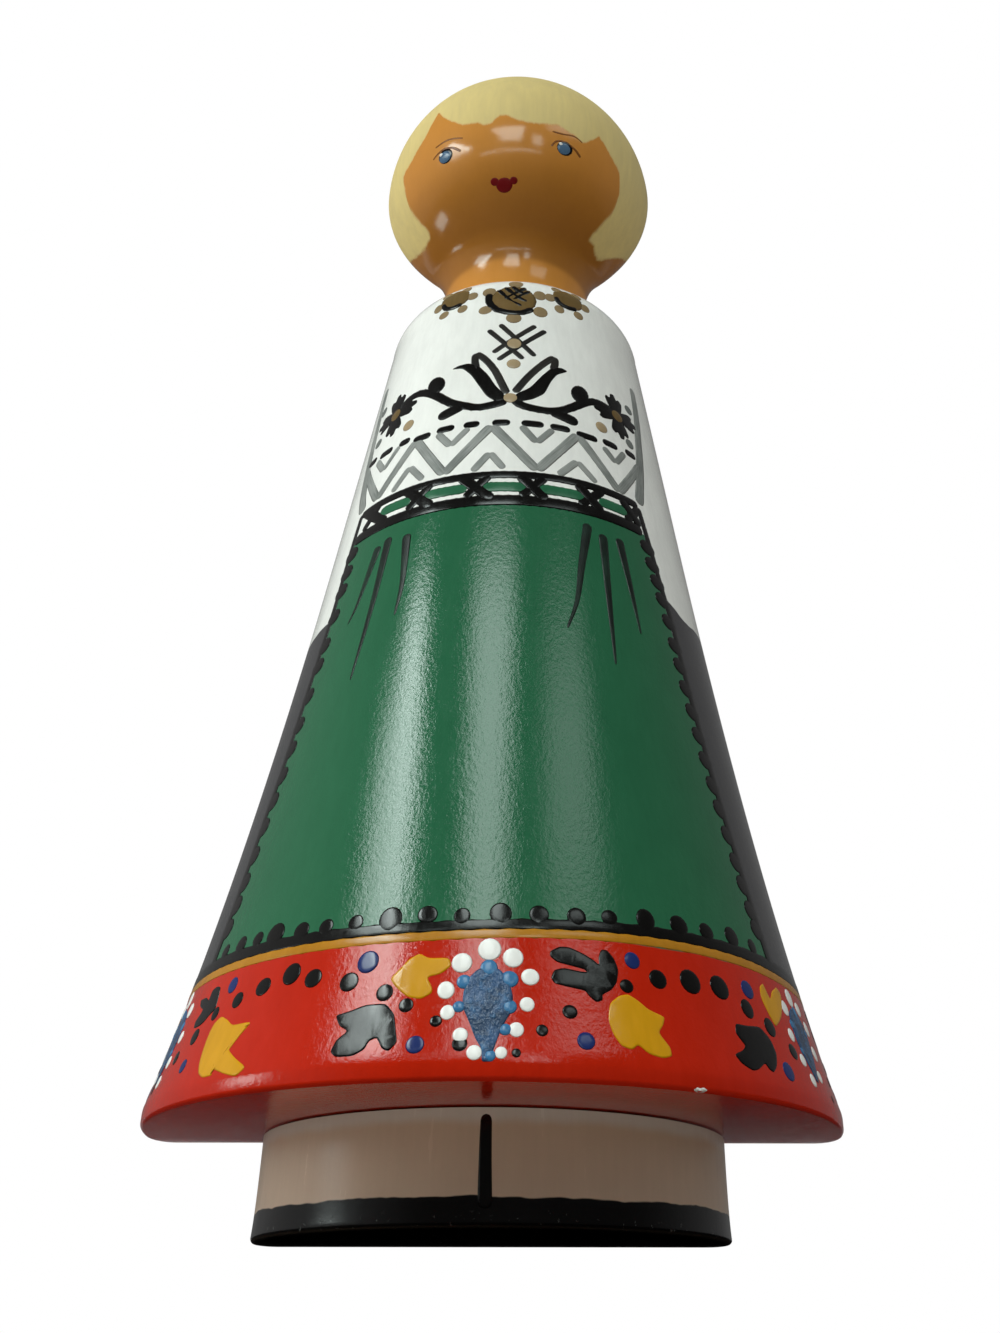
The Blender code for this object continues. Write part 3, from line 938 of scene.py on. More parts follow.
def head_material(colours):
    """Skin with a fringe and bob of hair painted over it, and painted shade on the skin: darker under the
    chin, lighter and bluer towards the forehead.
    """
    material, tree, shader = new_material("skin_and_hair_paint")
    place = use_group(tree, "Place on turning")
    angle, height = place["Angle"], place["Height"]
    hairs = speckle(tree, (0.9, 0.9, 0.25), roughness=0.6)
    ragged = swing(tree, hairs, 0.5, 1.3)
    fringe = curve_value(tree, angle, -90, 90, 260, 320, FRINGE, FRINGE_PEAKS)
    hair = rise(tree, plus(tree, minus(tree, height, fringe), ragged), -0.3, 1.0)
    sides = (
        (LEFT_CURL, (-70, -40), (1.4, -1.4), (273.0, 274.0), (-63.0, -61.0)),
        (RIGHT_CURL, (40, 70), (-1.4, 1.4), (270.8, 271.8), (63.0, 61.0)),
    )
    for points, reach, soft_edge, lower_edge, back_edge in sides:
        curl = curve_value(tree, height, 270, 290, *reach, points)
        side = rise(tree, plus(tree, minus(tree, angle, curl), ragged), *soft_edge)
        side = times(tree, side, rise(tree, height, *lower_edge), rise(tree, angle, *back_edge))
        hair = maths(tree, "MAXIMUM", hair, side)
    strands = speckle(tree, (0.5, 0.5, 0.05), roughness=0.6)
    tint = mixed(tree, times(tree, strands, 0.35), colours.hair, colours.gold)
    # Painted shade and painted sheen: the skin darkens under the chin and grows paler and bluer towards the
    # forehead
    tone = curve_value(tree, height, 240, 300, 0, 1, SKIN_PAINTED_SHADE)
    skin = mixed(tree, tone, tinted(colours.skin, SHADED_SKIN_TINT), tinted(colours.skin, LIT_SKIN_TINT))
    paint = mixed(tree, hair, skin, tint)
    gloss = spread(tree, hair, 0.1, 0.5)
    finish = use_group(tree, "Paint film", Colour=paint, Mottle=0.1, Gloss=gloss, Grain=0.25)
    wear_finish(tree, shader, finish, 0.25)
    feed(tree, shader.inputs["Coat Weight"], spread(tree, hair, 0.45, 0.1))
    shader.inputs["Coat Roughness"].default_value = 0.5
    return material


def leg_material(colours):
    """White stockings over black shoes, scuffed at the sole."""
    material, tree, shader = new_material("stocking_paint")
    place = use_group(tree, "Place on turning")
    height = wobbled(tree, place, "Height", 1.6)
    paint = mixed(tree, rise(tree, height, *SHOE_EDGE), colours.stocking, colours.black)
    scuff = use_group(tree, "Chips", Size=0.9, Amount=0.6)["Mask"]
    scuff = times(tree, scuff, rise(tree, place["Height"], 3.5, 0.5), 0.6)
    paint = mixed(tree, scuff, paint, colours.grey)
    paint = mixed(tree, rise(tree, place["Height"], 0.6, 0.2), paint, SOLE)
    # Whiter band towards the top of the legs
    whiter_leg_top = times(tree, rise(tree, height, 16.4, 18.6), 0.6)
    paint = mixed(tree, whiter_leg_top, paint, colours.white)
    finish = use_group(tree, "Paint film", Colour=paint, Mottle=0.1, Gloss=0.2, Grain=1.0)
    wear_finish(tree, shader, finish, 0.3)
    return material


# Operators


class DollOperator:
    """What every operator of the doll shares."""

    bl_options = {"REGISTER", "UNDO"}

    @property
    def settings(self):
        return bpy.context.scene.wall_doll


# Cutters for what goes into the wood

CLEARANCE = 0.3 * MM
SCREW_HOLE_RADIUS = 1.7 * MM
POCKET_MARGIN = 5 * MM  # beside the ring and above the strap
POCKET_BELOW = 10 * MM  # under the ring
POCKET_CORNER = 7 * MM
CUT_DEPTH = 1.5 * MM  # a face this far under the turned side has been cut into the wood
END_REACH = 0.05 * MM  # a face this near the top or the bottom belongs to an end
LEG_DOWELS = ("leg_dowel_left", "leg_dowel_right")
DOWELS = ("neck_dowel", *LEG_DOWELS)
SCREWS = ("hanger_screw_upper", "hanger_screw_lower")


def hole(name, axis, centre, radius, reach):
    """A round cutter along an axis."""
    bm = bmesh.new()
    bmesh.ops.create_cone(
        bm, cap_ends=True, cap_tris=False, segments=32, radius1=radius, radius2=radius, depth=reach
    )
    turned = Vector((0, 0, 1)).rotation_difference(Vector(axis)).to_matrix().to_4x4()
    bmesh.ops.transform(bm, matrix=Matrix.Translation(centre) @ turned, verts=bm.verts)
    return cutter(name, bm)


def cutter(name, bm):
    bmesh.ops.recalc_face_normals(bm, faces=bm.faces)
    return put_in_scene(name, mesh_from(name, bm))


def socket_for(node):
    """A round hole for an upright dowel that stands in the wood."""
    low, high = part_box(node)
    size = high - low
    radius = min(size) / 2 + CLEARANCE
    return hole("cut_" + node, (0, 0, 1), (low + high) / 2, radius, size.z + 2 * CLEARANCE)


def screw_hole(node):
    """The hole of a screw's shank, from its seat into the wood."""
    low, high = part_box(node)
    return hole("cut_" + node, (0, 1, 0), (low + high) / 2, SCREW_HOLE_RADIUS, high.y - low.y)


def pocket_cutter():
    """The round-cornered pocket that the hanger lies in."""
    ring_low, ring_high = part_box("hanger_ring")
    strap_low, strap_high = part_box("hanger_strap")
    half = ring_high.x + POCKET_MARGIN
    bottom, top = ring_low.z - POCKET_BELOW, strap_high.z + POCKET_MARGIN
    floor = strap_low.y - CLEARANCE
    deep = 2 * (BACK_Y - floor)
    bm = bmesh.new()
    bmesh.ops.create_cube(bm, size=1.0)
    place = Matrix.Translation((0, floor + deep / 2, (bottom + top) / 2))
    size = Matrix.Diagonal((2 * half, deep, top - bottom, 1))
    bmesh.ops.transform(bm, matrix=place @ size, verts=bm.verts)
    corners = [edge for edge in bm.edges if abs(edge.verts[0].co.y - edge.verts[1].co.y) > MM]
    bmesh.ops.bevel(
        bm,
        geom=corners,
        offset=POCKET_CORNER,
        offset_type="OFFSET",
        affect="EDGES",
        segments=8,
        profile=0.5,
        material=-1,
    )
    return cutter("cut_pocket", bm)


def carve(piece, cutters):
    """Takes cutters out of a piece and keeps the result as its mesh."""
    for shape in cutters:
        change = piece.modifiers.new(shape.name, "BOOLEAN")
        change.operation = "DIFFERENCE"
        change.solver = "EXACT"
        change.object = shape
    bpy.context.view_layer.update()
    carved = bpy.data.meshes.new_from_object(piece.evaluated_get(bpy.context.evaluated_depsgraph_get()))
    piece.modifiers.clear()
    old = piece.data
    carved.name = old.name + "_carved"
    piece.data = carved
    bpy.data.meshes.remove(old)
    for shape in cutters:
        mesh = shape.data
        bpy.data.objects.remove(shape)
        bpy.data.meshes.remove(mesh)
    carved.set_sharp_from_angle(angle=SHARP_EDGE)


def bare_inside(piece, turning):
    """Gives the flat back and everything cut into the wood the second material."""
    bottom, top = turning.outline[0][1], turning.outline[-1][1]
    back = BACK_Y - 2 * EASE_CUTS[0] * turning.ease
    for face in piece.data.polygons:
        centre = face.center
        radius = math.hypot(centre.x, BACK_Y - centre.y)
        at_end = min(abs(centre.z - bottom), abs(centre.z - top)) < END_REACH
        cut = radius < turning.at(centre.z)[0] - CUT_DEPTH and not at_end
        face.material_index = 1 if cut or centre.y > back else 0


def turned_piece(name, node, turning, materials, cutters):
    """A half-turned piece that stands for its CAD solid."""
    piece = finish_piece(name, half_turned(turning), materials)
    piece.data.set_sharp_from_angle(angle=SHARP_EDGE)
    carve(piece, cutters)
    bare_inside(piece, turning)
    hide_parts(node)


class DOLL_OT_turned_wood(DollOperator, bpy.types.Operator):
    """Turns the legs, the body and the head, with their sockets and the hanger's pocket"""

    bl_idname = "doll.turned_wood"
    bl_label = "Turned wood"

    def execute(self, context):
        sizes, colours = self.settings.sizes, self.settings.colours
        wood = bare_wood("bare_wood", colours)
        paints = [leg_material(colours), wood]
        cuts = [socket_for(node) for node in LEG_DOWELS]
        turned_piece("turned_legs", "leg_block", leg_turning(sizes), paints, cuts)
        paints = [dress_material(colours), wood]
        cuts = [pocket_cutter()]
        cuts += [socket_for(node) for node in DOWELS]
        cuts += [screw_hole(node) for node in SCREWS]
        turned_piece("turned_body", "body", body_turning(sizes), paints, cuts)
        paints = [head_material(colours), wood]
        cuts = [socket_for("neck_dowel")]
        turned_piece("turned_head", "head", head_turning(sizes), paints, cuts)
        return {"FINISHED"}


class DOLL_OT_hanger(DollOperator, bpy.types.Operator):
    """Finishes the metal hanger, whose solids are shown as they are"""

    bl_idname = "doll.hanger"
    bl_label = "Hanger and dowels"

    def execute(self, context):
        colours = self.settings.colours
        finishes = {
            "hanger_strap": zinc("zinc_strap", colours.zinc, 0.36),
            "hanger_ring": zinc("zinc_wire", colours.zinc, 0.28),
            **dict.fromkeys(SCREWS, zinc("screw_steel", colours.zinc, 0.24)),
            # The frame holds a plain dowel_beech already, which the dowels keep
            **dict.fromkeys(DOWELS, bare_wood("dowel_beech", colours, 1.6)),
        }
        for node, material in finishes.items():
            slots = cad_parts[node].data.materials
            slots.clear()
            slots.append(material)
        return {"FINISHED"}


# Hem band: places in degrees from the front and millimetres above the sole

HEM_REPEAT = 63
HEM_LINE = (
    (-87, 45.5), (-60, 45.5), (-35, 45.5), (-10, 45.5), (5, 46), (25, 46.5), (45, 46.5), (60, 46),
    (87, 45.5),
)
HAND_LEAF = (
    (10, 43), (11.5, 44), (13, 44), (15, 43), (16.5, 42), (17.5, 41), (17.5, 42.5), (18, 44), (19, 44),
    (20, 42.5), (20.5, 40.5), (20, 38), (19, 36.5), (17.5, 35.5), (17.5, 34.5), (16.5, 34), (15.5, 35),
    (15, 36), (12.5, 36.5), (10.5, 37), (10, 38), (10.5, 39.5), (12, 40), (14.5, 39.5), (15.5, 39.5),
    (15, 40), (13, 40.5), (11, 41), (10, 42),
)
ACORN_LEAF = (
    (21.5, 36), (23, 35), (24.5, 33.5), (27, 32.5), (26.5, 31), (25.5, 29.5), (27, 27), (27, 25.5),
    (25.5, 25), (23.5, 25.5), (22, 27), (21, 26), (19.5, 26.5), (18.5, 28.5), (18, 31), (18.5, 34),
    (20, 35.5),
)
RIGHT_OAK_LEAF = (
    (46.5, 34), (43, 33.5), (40.5, 33.5), (40, 31.5), (41.5, 29.5), (40.5, 28.5), (38.5, 27.5), (39.5, 26),
    (41.5, 25), (43, 25.5), (45, 27), (45.5, 26), (46.5, 25.5), (48, 27), (49, 29.5), (48.5, 32),
)
RIGHT_BUD_LEAF = (
    (50, 42.5), (51.5, 43.5), (52, 42), (52.5, 40.5), (54, 42.5), (56.5, 44), (57.5, 43), (57, 41),
    (55, 38), (53.5, 36.5), (51.5, 35), (50.5, 37), (49.5, 40),
)
LEFT_BUD_LEAF = (
    (-9.5, 42.5), (-8, 41.5), (-5, 41.5), (-4.5, 40), (-6, 38.5), (-8, 38), (-7, 36), (-7, 35), (-8.5, 34),
    (-10.5, 34.5), (-12.5, 36.5), (-13.5, 38), (-12, 40), (-11, 41.5),
)
LEFT_OAK_LEAF = (
    (-16.5, 33.5), (-13.5, 33.5), (-12, 31.5), (-11.5, 29), (-11, 26.5), (-12, 25), (-13, 25.5),
    (-14, 27.5), (-15, 27), (-15.5, 25.5), (-17, 24.5), (-19.5, 24.5), (-20.5, 25.5), (-20, 27.5),
    (-18.5, 29), (-20, 30), (-21, 32), (-19, 32.5),
)
WING_LEAF = (
    (-45, 35.5), (-43, 34.5), (-41, 33), (-36.5, 33), (-38, 31), (-40, 28.5), (-37.5, 26.5), (-34.5, 24.5),
    (-36, 23), (-39, 24), (-42.5, 25.5), (-41.5, 24), (-44, 24), (-45.5, 25), (-46.5, 27), (-47, 30),
    (-47, 33), (-46.5, 34.5),
)
STAR_LEAF = (
    (-56, 41), (-53.5, 41), (-52, 40), (-52, 42), (-50.5, 42.5), (-49, 42), (-48.5, 40), (-48, 37.5),
    (-49.5, 36.5), (-50.5, 35.5), (-52, 35), (-54, 35), (-54.5, 36.5), (-53.5, 37.5), (-53, 38.5),
    (-55, 39.5),
)
# Lozenges, their dabs and pearls, in degrees from the lozenge's middle
LOZENGES = (-64.5, 1, 61.5)
FRONT_REACH = 30  # a lozenge nearer the front than this has the front's shape
LOZENGE = (
    (-1.5, 39.5), (-3, 37.5), (-3.5, 35), (-3.5, 32.5), (-2.5, 30), (-1.5, 27), (-0.5, 25), (-0.5, 23),
    (0.5, 23), (1, 25), (1.5, 27), (2.5, 30), (3.5, 32), (3.5, 34.5), (3, 37), (1.5, 39.5),
)
SIDE_LOZENGE = (
    (-1.5, 40.5), (0, 41), (1.5, 40.5), (3, 38.5), (3.5, 36), (3, 33), (2, 30), (1, 27.5), (0.5, 26.5),
    (-0.5, 26.5), (-1, 28), (-2.5, 31), (-3.5, 34), (-3.5, 37), (-3, 39),
)
LOZENGE_DABS = (
    (0, 39.5, 3), (3, 37.5, 3), (3, 32.5, 2.5), (2.5, 28.5, 2), (-3.5, 37, 2.5), (-4, 32.5, 2),
    (0.5, 24, 2),
)
SIDE_DABS = ((0.5, 40, 2.5), (3, 36.5, 2), (-3, 37, 2), (-2.5, 32, 1.5))
LOZENGE_PEARLS = (
    (0, 43, 4), (3.5, 41.5, 3.5), (6, 38, 3), (5.5, 33, 2.5), (4, 28.5, 2.5), (2, 24.5, 2),
    (-1.5, 24.5, 2.5), (-3.5, 27.5, 2.5), (-5.5, 31.5, 2.5), (-6, 35.5, 3), (-4, 40.5, 3.5),
)
SIDE_PEARLS = (
    (0, 43, 3.5), (-4, 40, 3), (-5, 34.5, 2.5), (-3.5, 30, 2.5), (-2, 26.5, 2.5), (2.5, 28, 2.5),
    (5, 33, 3), (5.5, 38, 3), (3.5, 41.5, 3),
)
HEM_CHIP = (
    (30, 20.3), (30.5, 20.7), (31, 20.6), (31.6, 20.8), (32.2, 20.4), (31.8, 20.1), (31, 20), (30.4, 20.1),
)
# Dots as degrees, millimetres up and size
RIGHT_GARLAND = (
    (21.5, 37.5, 2.5), (27, 39.5, 3.5), (33, 40, 4.5), (39, 40, 4.5), (44.5, 37, 3.5), (49.5, 34.5, 3.5),
    (55, 31, 3), (12.5, 32, 2.5), (8.5, 28.5, 2), (5, 24.5, 1.5),
)
LEFT_GARLAND = (
    (-42, 38, 3), (-36.5, 39.5, 3.5), (-31, 41, 4), (-26.5, 39.5, 3.5), (-20, 38, 3.5), (-14, 35.5, 3),
    (-10.5, 33, 2.5), (-6, 30, 2), (-2.5, 26, 2.5), (-52, 33, 3), (-57, 30, 2.5), (-47.5, 36.5, 2.5),
)
NAVY_DOTS = (
    (23, 42.5, 3), (46, 41, 3.5), (14.5, 27, 3), (51, 26.5, 3.5), (-17.5, 41.5, 4), (-45, 41.5, 3),
    (-8.5, 26, 3), (-52, 27.5, 2.5),
)
SIDE_SHOWN = (62, 85)  # where the front pattern comes again
LEAF_LIMIT = 88  # leaves stop short of the flat back


def round_the_side(places):
    """Places of the front pattern, and the same again where the hem goes out of sight."""
    result = list(places)
    start, end = SIDE_SHOWN
    for angle, height, size in places:
        for shift in (HEM_REPEAT, -HEM_REPEAT):
            if start < abs(angle + shift) < end and angle * shift > 0:
                result.append((angle + shift, height, size))
    return result


def shifted(places, shift):
    return tuple((place[0] + shift, *place[1:]) for place in places)


def at_lozenge(front, side, middle):
    """Places about a lozenge's middle, of the front's or the sides' set, mirrored on the left."""
    places = front if abs(middle) < FRONT_REACH else side
    if middle < 0:
        places = [(-place[0], *place[1:]) for place in places]
    return shifted(places, middle)


class DOLL_OT_hem(DollOperator, bpy.types.Operator):
    """Paints the hem band: its lines, lozenges with pearls, leaves and garlands of dots"""

    bl_idname = "doll.hem"
    bl_label = "Hem band"

    def execute(self, context):
        colours = self.settings.colours
        skirt = body_turning(self.settings.sizes)
        black = black_paint(colours)
        ochre = ornament("ochre_paint", colours.ochre, mottle=0.3)
        yellow = ornament("yellow_paint", colours.yellow, mottle=0.22)
        white = ornament("white_paint", colours.white, mottle=0.08)
        blue = wrinkled_paint("blue_paint", colours.blue, colours.pale_blue)
        pale_blue = ornament("pale_blue_paint", colours.pale_blue, mottle=0.3)
        navy = ornament("navy_paint", colours.navy, mottle=0.3)

        def line(brush, up, width, thicker):
            for more in (0, thicker):
                points = [(angle, height + up + more * abs(angle) / 90) for angle, height in HEM_LINE]
                brush.stroke(points, width, step=2.5)

        def leaves(brush, outlines, right, left):
            brush.patches(outlines)
            for outline, shift in ((right, HEM_REPEAT), (left, -HEM_REPEAT)):
                corners = shifted(outline, shift)
                brush.patch([(max(-LEAF_LIMIT, min(LEAF_LIMIT, angle)), height) for angle, height in corners])

        def lozenges(brush):
            for middle in LOZENGES:
                brush.patch(at_lozenge(LOZENGE, SIDE_LOZENGE, middle), 0.15)

        def lozenge_dabs(brush, front, side, lift):
            for middle in LOZENGES:
                brush.dabs(at_lozenge(front, side, middle), lift)

        def pale_dabs(brush):
            lozenge_dabs(brush, LOZENGE_DABS, SIDE_DABS, 0.22)

        def pearls(brush):
            lozenge_dabs(brush, LOZENGE_PEARLS, SIDE_PEARLS, 0.15)

        def black_leaves(brush):
            leaves(brush, (HAND_LEAF, RIGHT_OAK_LEAF, LEFT_OAK_LEAF, STAR_LEAF), HAND_LEAF, LEFT_OAK_LEAF)

        def yellow_leaves(brush):
            leaves(brush, (ACORN_LEAF, RIGHT_BUD_LEAF, LEFT_BUD_LEAF, WING_LEAF), ACORN_LEAF, LEFT_BUD_LEAF)

        garlands = round_the_side(RIGHT_GARLAND + LEFT_GARLAND)
        navy_dots = round_the_side(NAVY_DOTS)
        paint_piece("hem_line_ochre", skirt, ochre, lambda brush: line(brush, 0.2, 1.9, -0.2))
        paint_piece("hem_line_black", skirt, black, lambda brush: line(brush, 2.0, 2.2, 1.0))
        paint_piece("hem_lozenges", skirt, blue, lozenges)
        paint_piece("hem_lozenge_dabs", skirt, pale_blue, pale_dabs)
        paint_piece("hem_pearls", skirt, white, pearls)
        paint_piece("hem_black_leaves", skirt, black, black_leaves)
        paint_piece("hem_yellow_leaves", skirt, yellow, yellow_leaves)
        paint_piece("hem_garlands", skirt, black, lambda brush: brush.dabs(garlands))
        paint_piece("hem_navy_dots", skirt, navy, lambda brush: brush.dabs(navy_dots))
        paint_piece("hem_chip", skirt, white, lambda brush: brush.patch(HEM_CHIP, 0.05, soften=0))
        return {"FINISHED"}


# Apron and belt: places as on the hem band

LEFT_BORDER = (
    (-51, 163), (-52, 150), (-52.5, 131.5), (-54, 111), (-55, 90), (-56, 80), (-57, 48.5),
)
RIGHT_BORDER = (
    (45, 163), (47.5, 150), (49, 140), (50.5, 131), (52, 110), (53.5, 90), (55.5, 70), (57, 48.5),
)
LEFT_SCALLOPS = (
    150, 144.5, 139, 131.5, 123.5, 118, 110, 102.5, 96.5, 90, 84, 78, 71.5, 65.5, 60.5, 55.5,
)
RIGHT_SCALLOPS = (
    150.5, 145.5, 140.5, 135.5, 129.5, 123, 117.5, 111.5, 105.5, 99.5, 93.5, 87.5, 82, 76, 70, 65, 59.5,
    55.5,
)
SCALLOP = (5.6, 4.6)  # width and height of a dab along the border
SCALLOP_INSET = 1.2
APRON_DOTS = (
    (-52.5, 50, 3), (-47, 50, 3.5), (-42, 50, 3), (-37.5, 50, 4.5), (-31.5, 49.5, 3.5), (-26.5, 49.5, 3),
    (-21, 49.5, 3), (-15, 49.5, 4.5), (-9, 50, 3.5), (-3.5, 49.5, 3), (2.5, 50, 4), (8.5, 50, 3.5),
    (14.5, 50, 3.5), (20, 50.5, 3), (26.5, 51, 4), (33, 51, 4), (39, 51, 3.5), (45.5, 51.5, 4),
    (51.5, 51, 3),
)
PLEATS = (
    ((-37.5, 147.5), (-40.5, 131.5), (-42.5, 126)),
    ((-34, 149), (-34.5, 130.5), (-36, 108.5)),
    ((-27.5, 148), (-26, 133), (-26.5, 123.5)),
    ((24.5, 150.5), (21.5, 137), (19.5, 126.5), (16.5, 118)),
    ((29, 148.5), (28.5, 130.5), (28, 110.5)),
    ((34.5, 149), (36, 135), (37, 121.5)),
)
BELT_CROSSES = (
    ((-49, 163), (-37, 155), (-41, 162.5), (-47.5, 156)),
    ((-31, 163), (-21, 155), (-21.5, 163), (-29.5, 156)),
    ((-13, 163), (-3, 155), (-4, 163), (-11, 156)),
    ((4.5, 163), (12.5, 155.5), (12.5, 163), (5, 156)),
    ((22, 163), (30, 155.5), (31, 163), (22.5, 156)),
    ((37.5, 163), (44.5, 156.5), (45, 162.5), (38.5, 156)),
)
# Belt lines as height in front, rise for each degree to the right, last degree and width
BELT_START = -51
BELT_LINES = ((163, 0.01, 46, 2.6), (154.7, 0.008, 48, 3.5))
BELT_MIDDLE = 159
BELT_WINDOWS = ((-40.5, -28.5), (-24, -10.5), (-6, 7), (10.5, 24.5), (29, 39.5))


def across_at(line, height):
    """Degrees at which a line that runs down the skirt passes a height."""
    rising = line[::-1]
    for (low_angle, low), (high_angle, high) in zip(rising, rising[1:]):
        if low <= height <= high:
            return low_angle + (high_angle - low_angle) * (height - low) / (high - low)
    raise ValueError(f"the line doesn't pass {height}")


class DOLL_OT_apron(DollOperator, bpy.types.Operator):
    """Paints the apron's scalloped border, its pleats and hem dots, and the belt"""

    bl_idname = "doll.apron"
    bl_label = "Apron and belt"

    def execute(self, context):
        colours = self.settings.colours
        skirt = body_turning(self.settings.sizes)
        black = black_paint(colours)
        pleat = thin_paint("pleat_paint", display(14, 22, 18), display(22, 48, 36), cover=0.66)
        green = ornament("belt_green_paint", colours.green, mottle=0.3)

        def border(brush):
            for line, scallops, inset in (
                (LEFT_BORDER, LEFT_SCALLOPS, SCALLOP_INSET),
                (RIGHT_BORDER, RIGHT_SCALLOPS, -SCALLOP_INSET),
            ):
                brush.stroke(line, 2.4)
                for height in scallops:
                    brush.dab(across_at(line, height) + inset / skirt.degree(height), height, *SCALLOP)

        def belt(brush):
            for height, slope, end, width in BELT_LINES:
                brush.stroke([(angle, height + slope * angle) for angle in range(BELT_START, end, 4)], width)
            for a, b, c, d in BELT_CROSSES:
                brush.stroke((a, b), 3.1, 0.1)
                brush.stroke((c, d), 2.5)

        windows = [((start, BELT_MIDDLE), (end, BELT_MIDDLE)) for start, end in BELT_WINDOWS]
        paint_piece("apron_border", skirt, black, border)
        paint_piece("apron_hem_dots", skirt, black, lambda brush: brush.dabs(APRON_DOTS))
        paint_piece("apron_pleats", skirt, pleat, lambda brush: brush.strokes(PLEATS, 2.7, ends=(1.0, 0.2)))
        paint_piece("belt_windows", skirt, green, lambda brush: brush.strokes(windows, 3.3, 0.06))
        paint_piece("belt", skirt, black, belt)
        return {"FINISHED"}


# Bodice: dashes as first and last degree and millimetres up, the rest as on the hem band

DASHES = (
    (-57, -51, 182), (-49, -42, 181.5), (-39, -34, 181.5), (-32.5, -25.5, 180.5), (-23.5, -17, 181),
    (-14, -8.5, 181), (-4.5, 1.5, 181), (5, 12.5, 181), (14.5, 21.5, 181), (23.5, 31.5, 180.5),
    (33.5, 40, 181), (43.5, 49, 181.5),
)
CHEVRON = (
    (-57.5, 181), (-44, 165), (-31, 180), (-18.5, 165), (-4.5, 180), (10, 165), (24, 180), (37.5, 165),
    (50, 179),
)
SMALL_CHEVRONS = (
    ((-50, 180.5), (-44.5, 175), (-38.5, 181)),
    ((-23, 180), (-17.5, 174.5), (-12, 180)),
    ((5, 180), (10, 174.5), (15.5, 180)),
    ((33.5, 179), (38, 175), (43, 180.5)),
    ((-37, 164.5), (-31.5, 171), (-25.5, 165)),
    ((-9.5, 164.5), (-4.5, 170.5), (0, 165)),
    ((16.5, 164.5), (23, 170.5), (29, 165)),
)
SLEEVE_LINES = (
    ((-62, 213), (-60.5, 202), (-59, 192), (-57, 181), (-54.5, 171), (-51.5, 164)),
    ((57.5, 211), (56, 200), (53.5, 190), (51, 180), (48.5, 172), (46, 164.5)),
)
LEFT_VINE = (
    (0, 189), (-5, 187.5), (-10, 187), (-15, 188.5), (-20, 190.5), (-25, 194), (-30, 197), (-35, 198.5),
    (-40, 198), (-43, 196),
)
RIGHT_VINE = (
    (2, 190), (5, 187.5), (10, 186.5), (15, 186.5), (20, 188), (25, 191), (30, 194), (35, 195), (40, 194.5),
)
VINE_SHOOTS = (
    ((-14.5, 188.8), (-19.5, 187), (-23.8, 185.7)),
    ((14.5, 186.8), (20, 185.3), (24.6, 184.2)),
)
VINE_BUDS = ((-27, 199, 25), (26.5, 195.5, -15))  # the last is a lean in degrees
VINE_BUD = (5.2, 6.8)  # width and height
LEFT_LILY_LEAF = (
    (-21.5, 203.4), (-17, 202.8), (-13.5, 199.8), (-10, 195), (-7, 190.8), (-3.5, 188.6), (-0.5, 189.3),
    (-1, 191.5), (-4, 194.5), (-7, 199), (-11, 203), (-15, 204.5), (-19, 204.3),
)
RIGHT_LILY_LEAF = (
    (22.5, 203), (18, 200.8), (15.5, 197.5), (13, 192.5), (9, 190), (5, 188.8), (2, 189.3), (3, 191.5),
    (8, 194.2), (12, 199), (16, 203), (20, 203.9),
)
LILY_PETALS = (
    ((-11.5, 201.5), (-12.5, 205), (-12.5, 208)),
    ((-12.5, 208), (-9, 205.5), (-5, 201), (-2, 195.5), (0, 191.5)),
    ((2.5, 192), (7.5, 198.5), (13, 204), (17.5, 207.5)),
    ((17.5, 207.5), (17.5, 205), (16.5, 202)),
)
CROSSED_STROKES = (
    ((-8.5, 217), (5.5, 205)), ((-4, 219), (10, 206.5)), ((10.5, 219), (-6, 207.5)),
    ((14.5, 217.5), (-4, 204.5)),
)
FLOWERS = ((-45.5, 195, 4), (42.5, 193.5, 4))
GOLD_DOTS = ((1.2, 190, 3.5), (2, 211, 4), (2, 203, 3.5), (-36.5, 187.5, 3.5), (34, 186, 3.5))
GREY_DOTS = ((-56.5, 201.5, 3), (-53.5, 188.5, 3), (50.5, 199.5, 3), (47, 185.5, 3))
# One petal, outward from the flower's middle, in millimetres
PETAL = (
    (0, 0.9), (2.6, 2.4), (5.4, 3.2), (6.6, 2.6), (6.0, 1.3), (7.8, 0.8), (8.0, -0.6), (6.1, -1.1),
    (6.8, -2.2), (5.6, -3.2), (2.6, -2.4), (0, -0.9),
)
PETAL_COUNT = 4
FLOWER_LEAN = 4  # degrees that the petals stand off the level


def petal_at(angle, height, degree, turn):
    """Corners of one petal, turned in degrees about the middle of its flower."""
    turn = math.radians(turn)
    corners = []
    for out, side in PETAL:
        across = out * math.cos(turn) - side * math.sin(turn)
        up = out * math.sin(turn) + side * math.cos(turn)
        corners.append((angle + across / degree, height + up))
    return corners


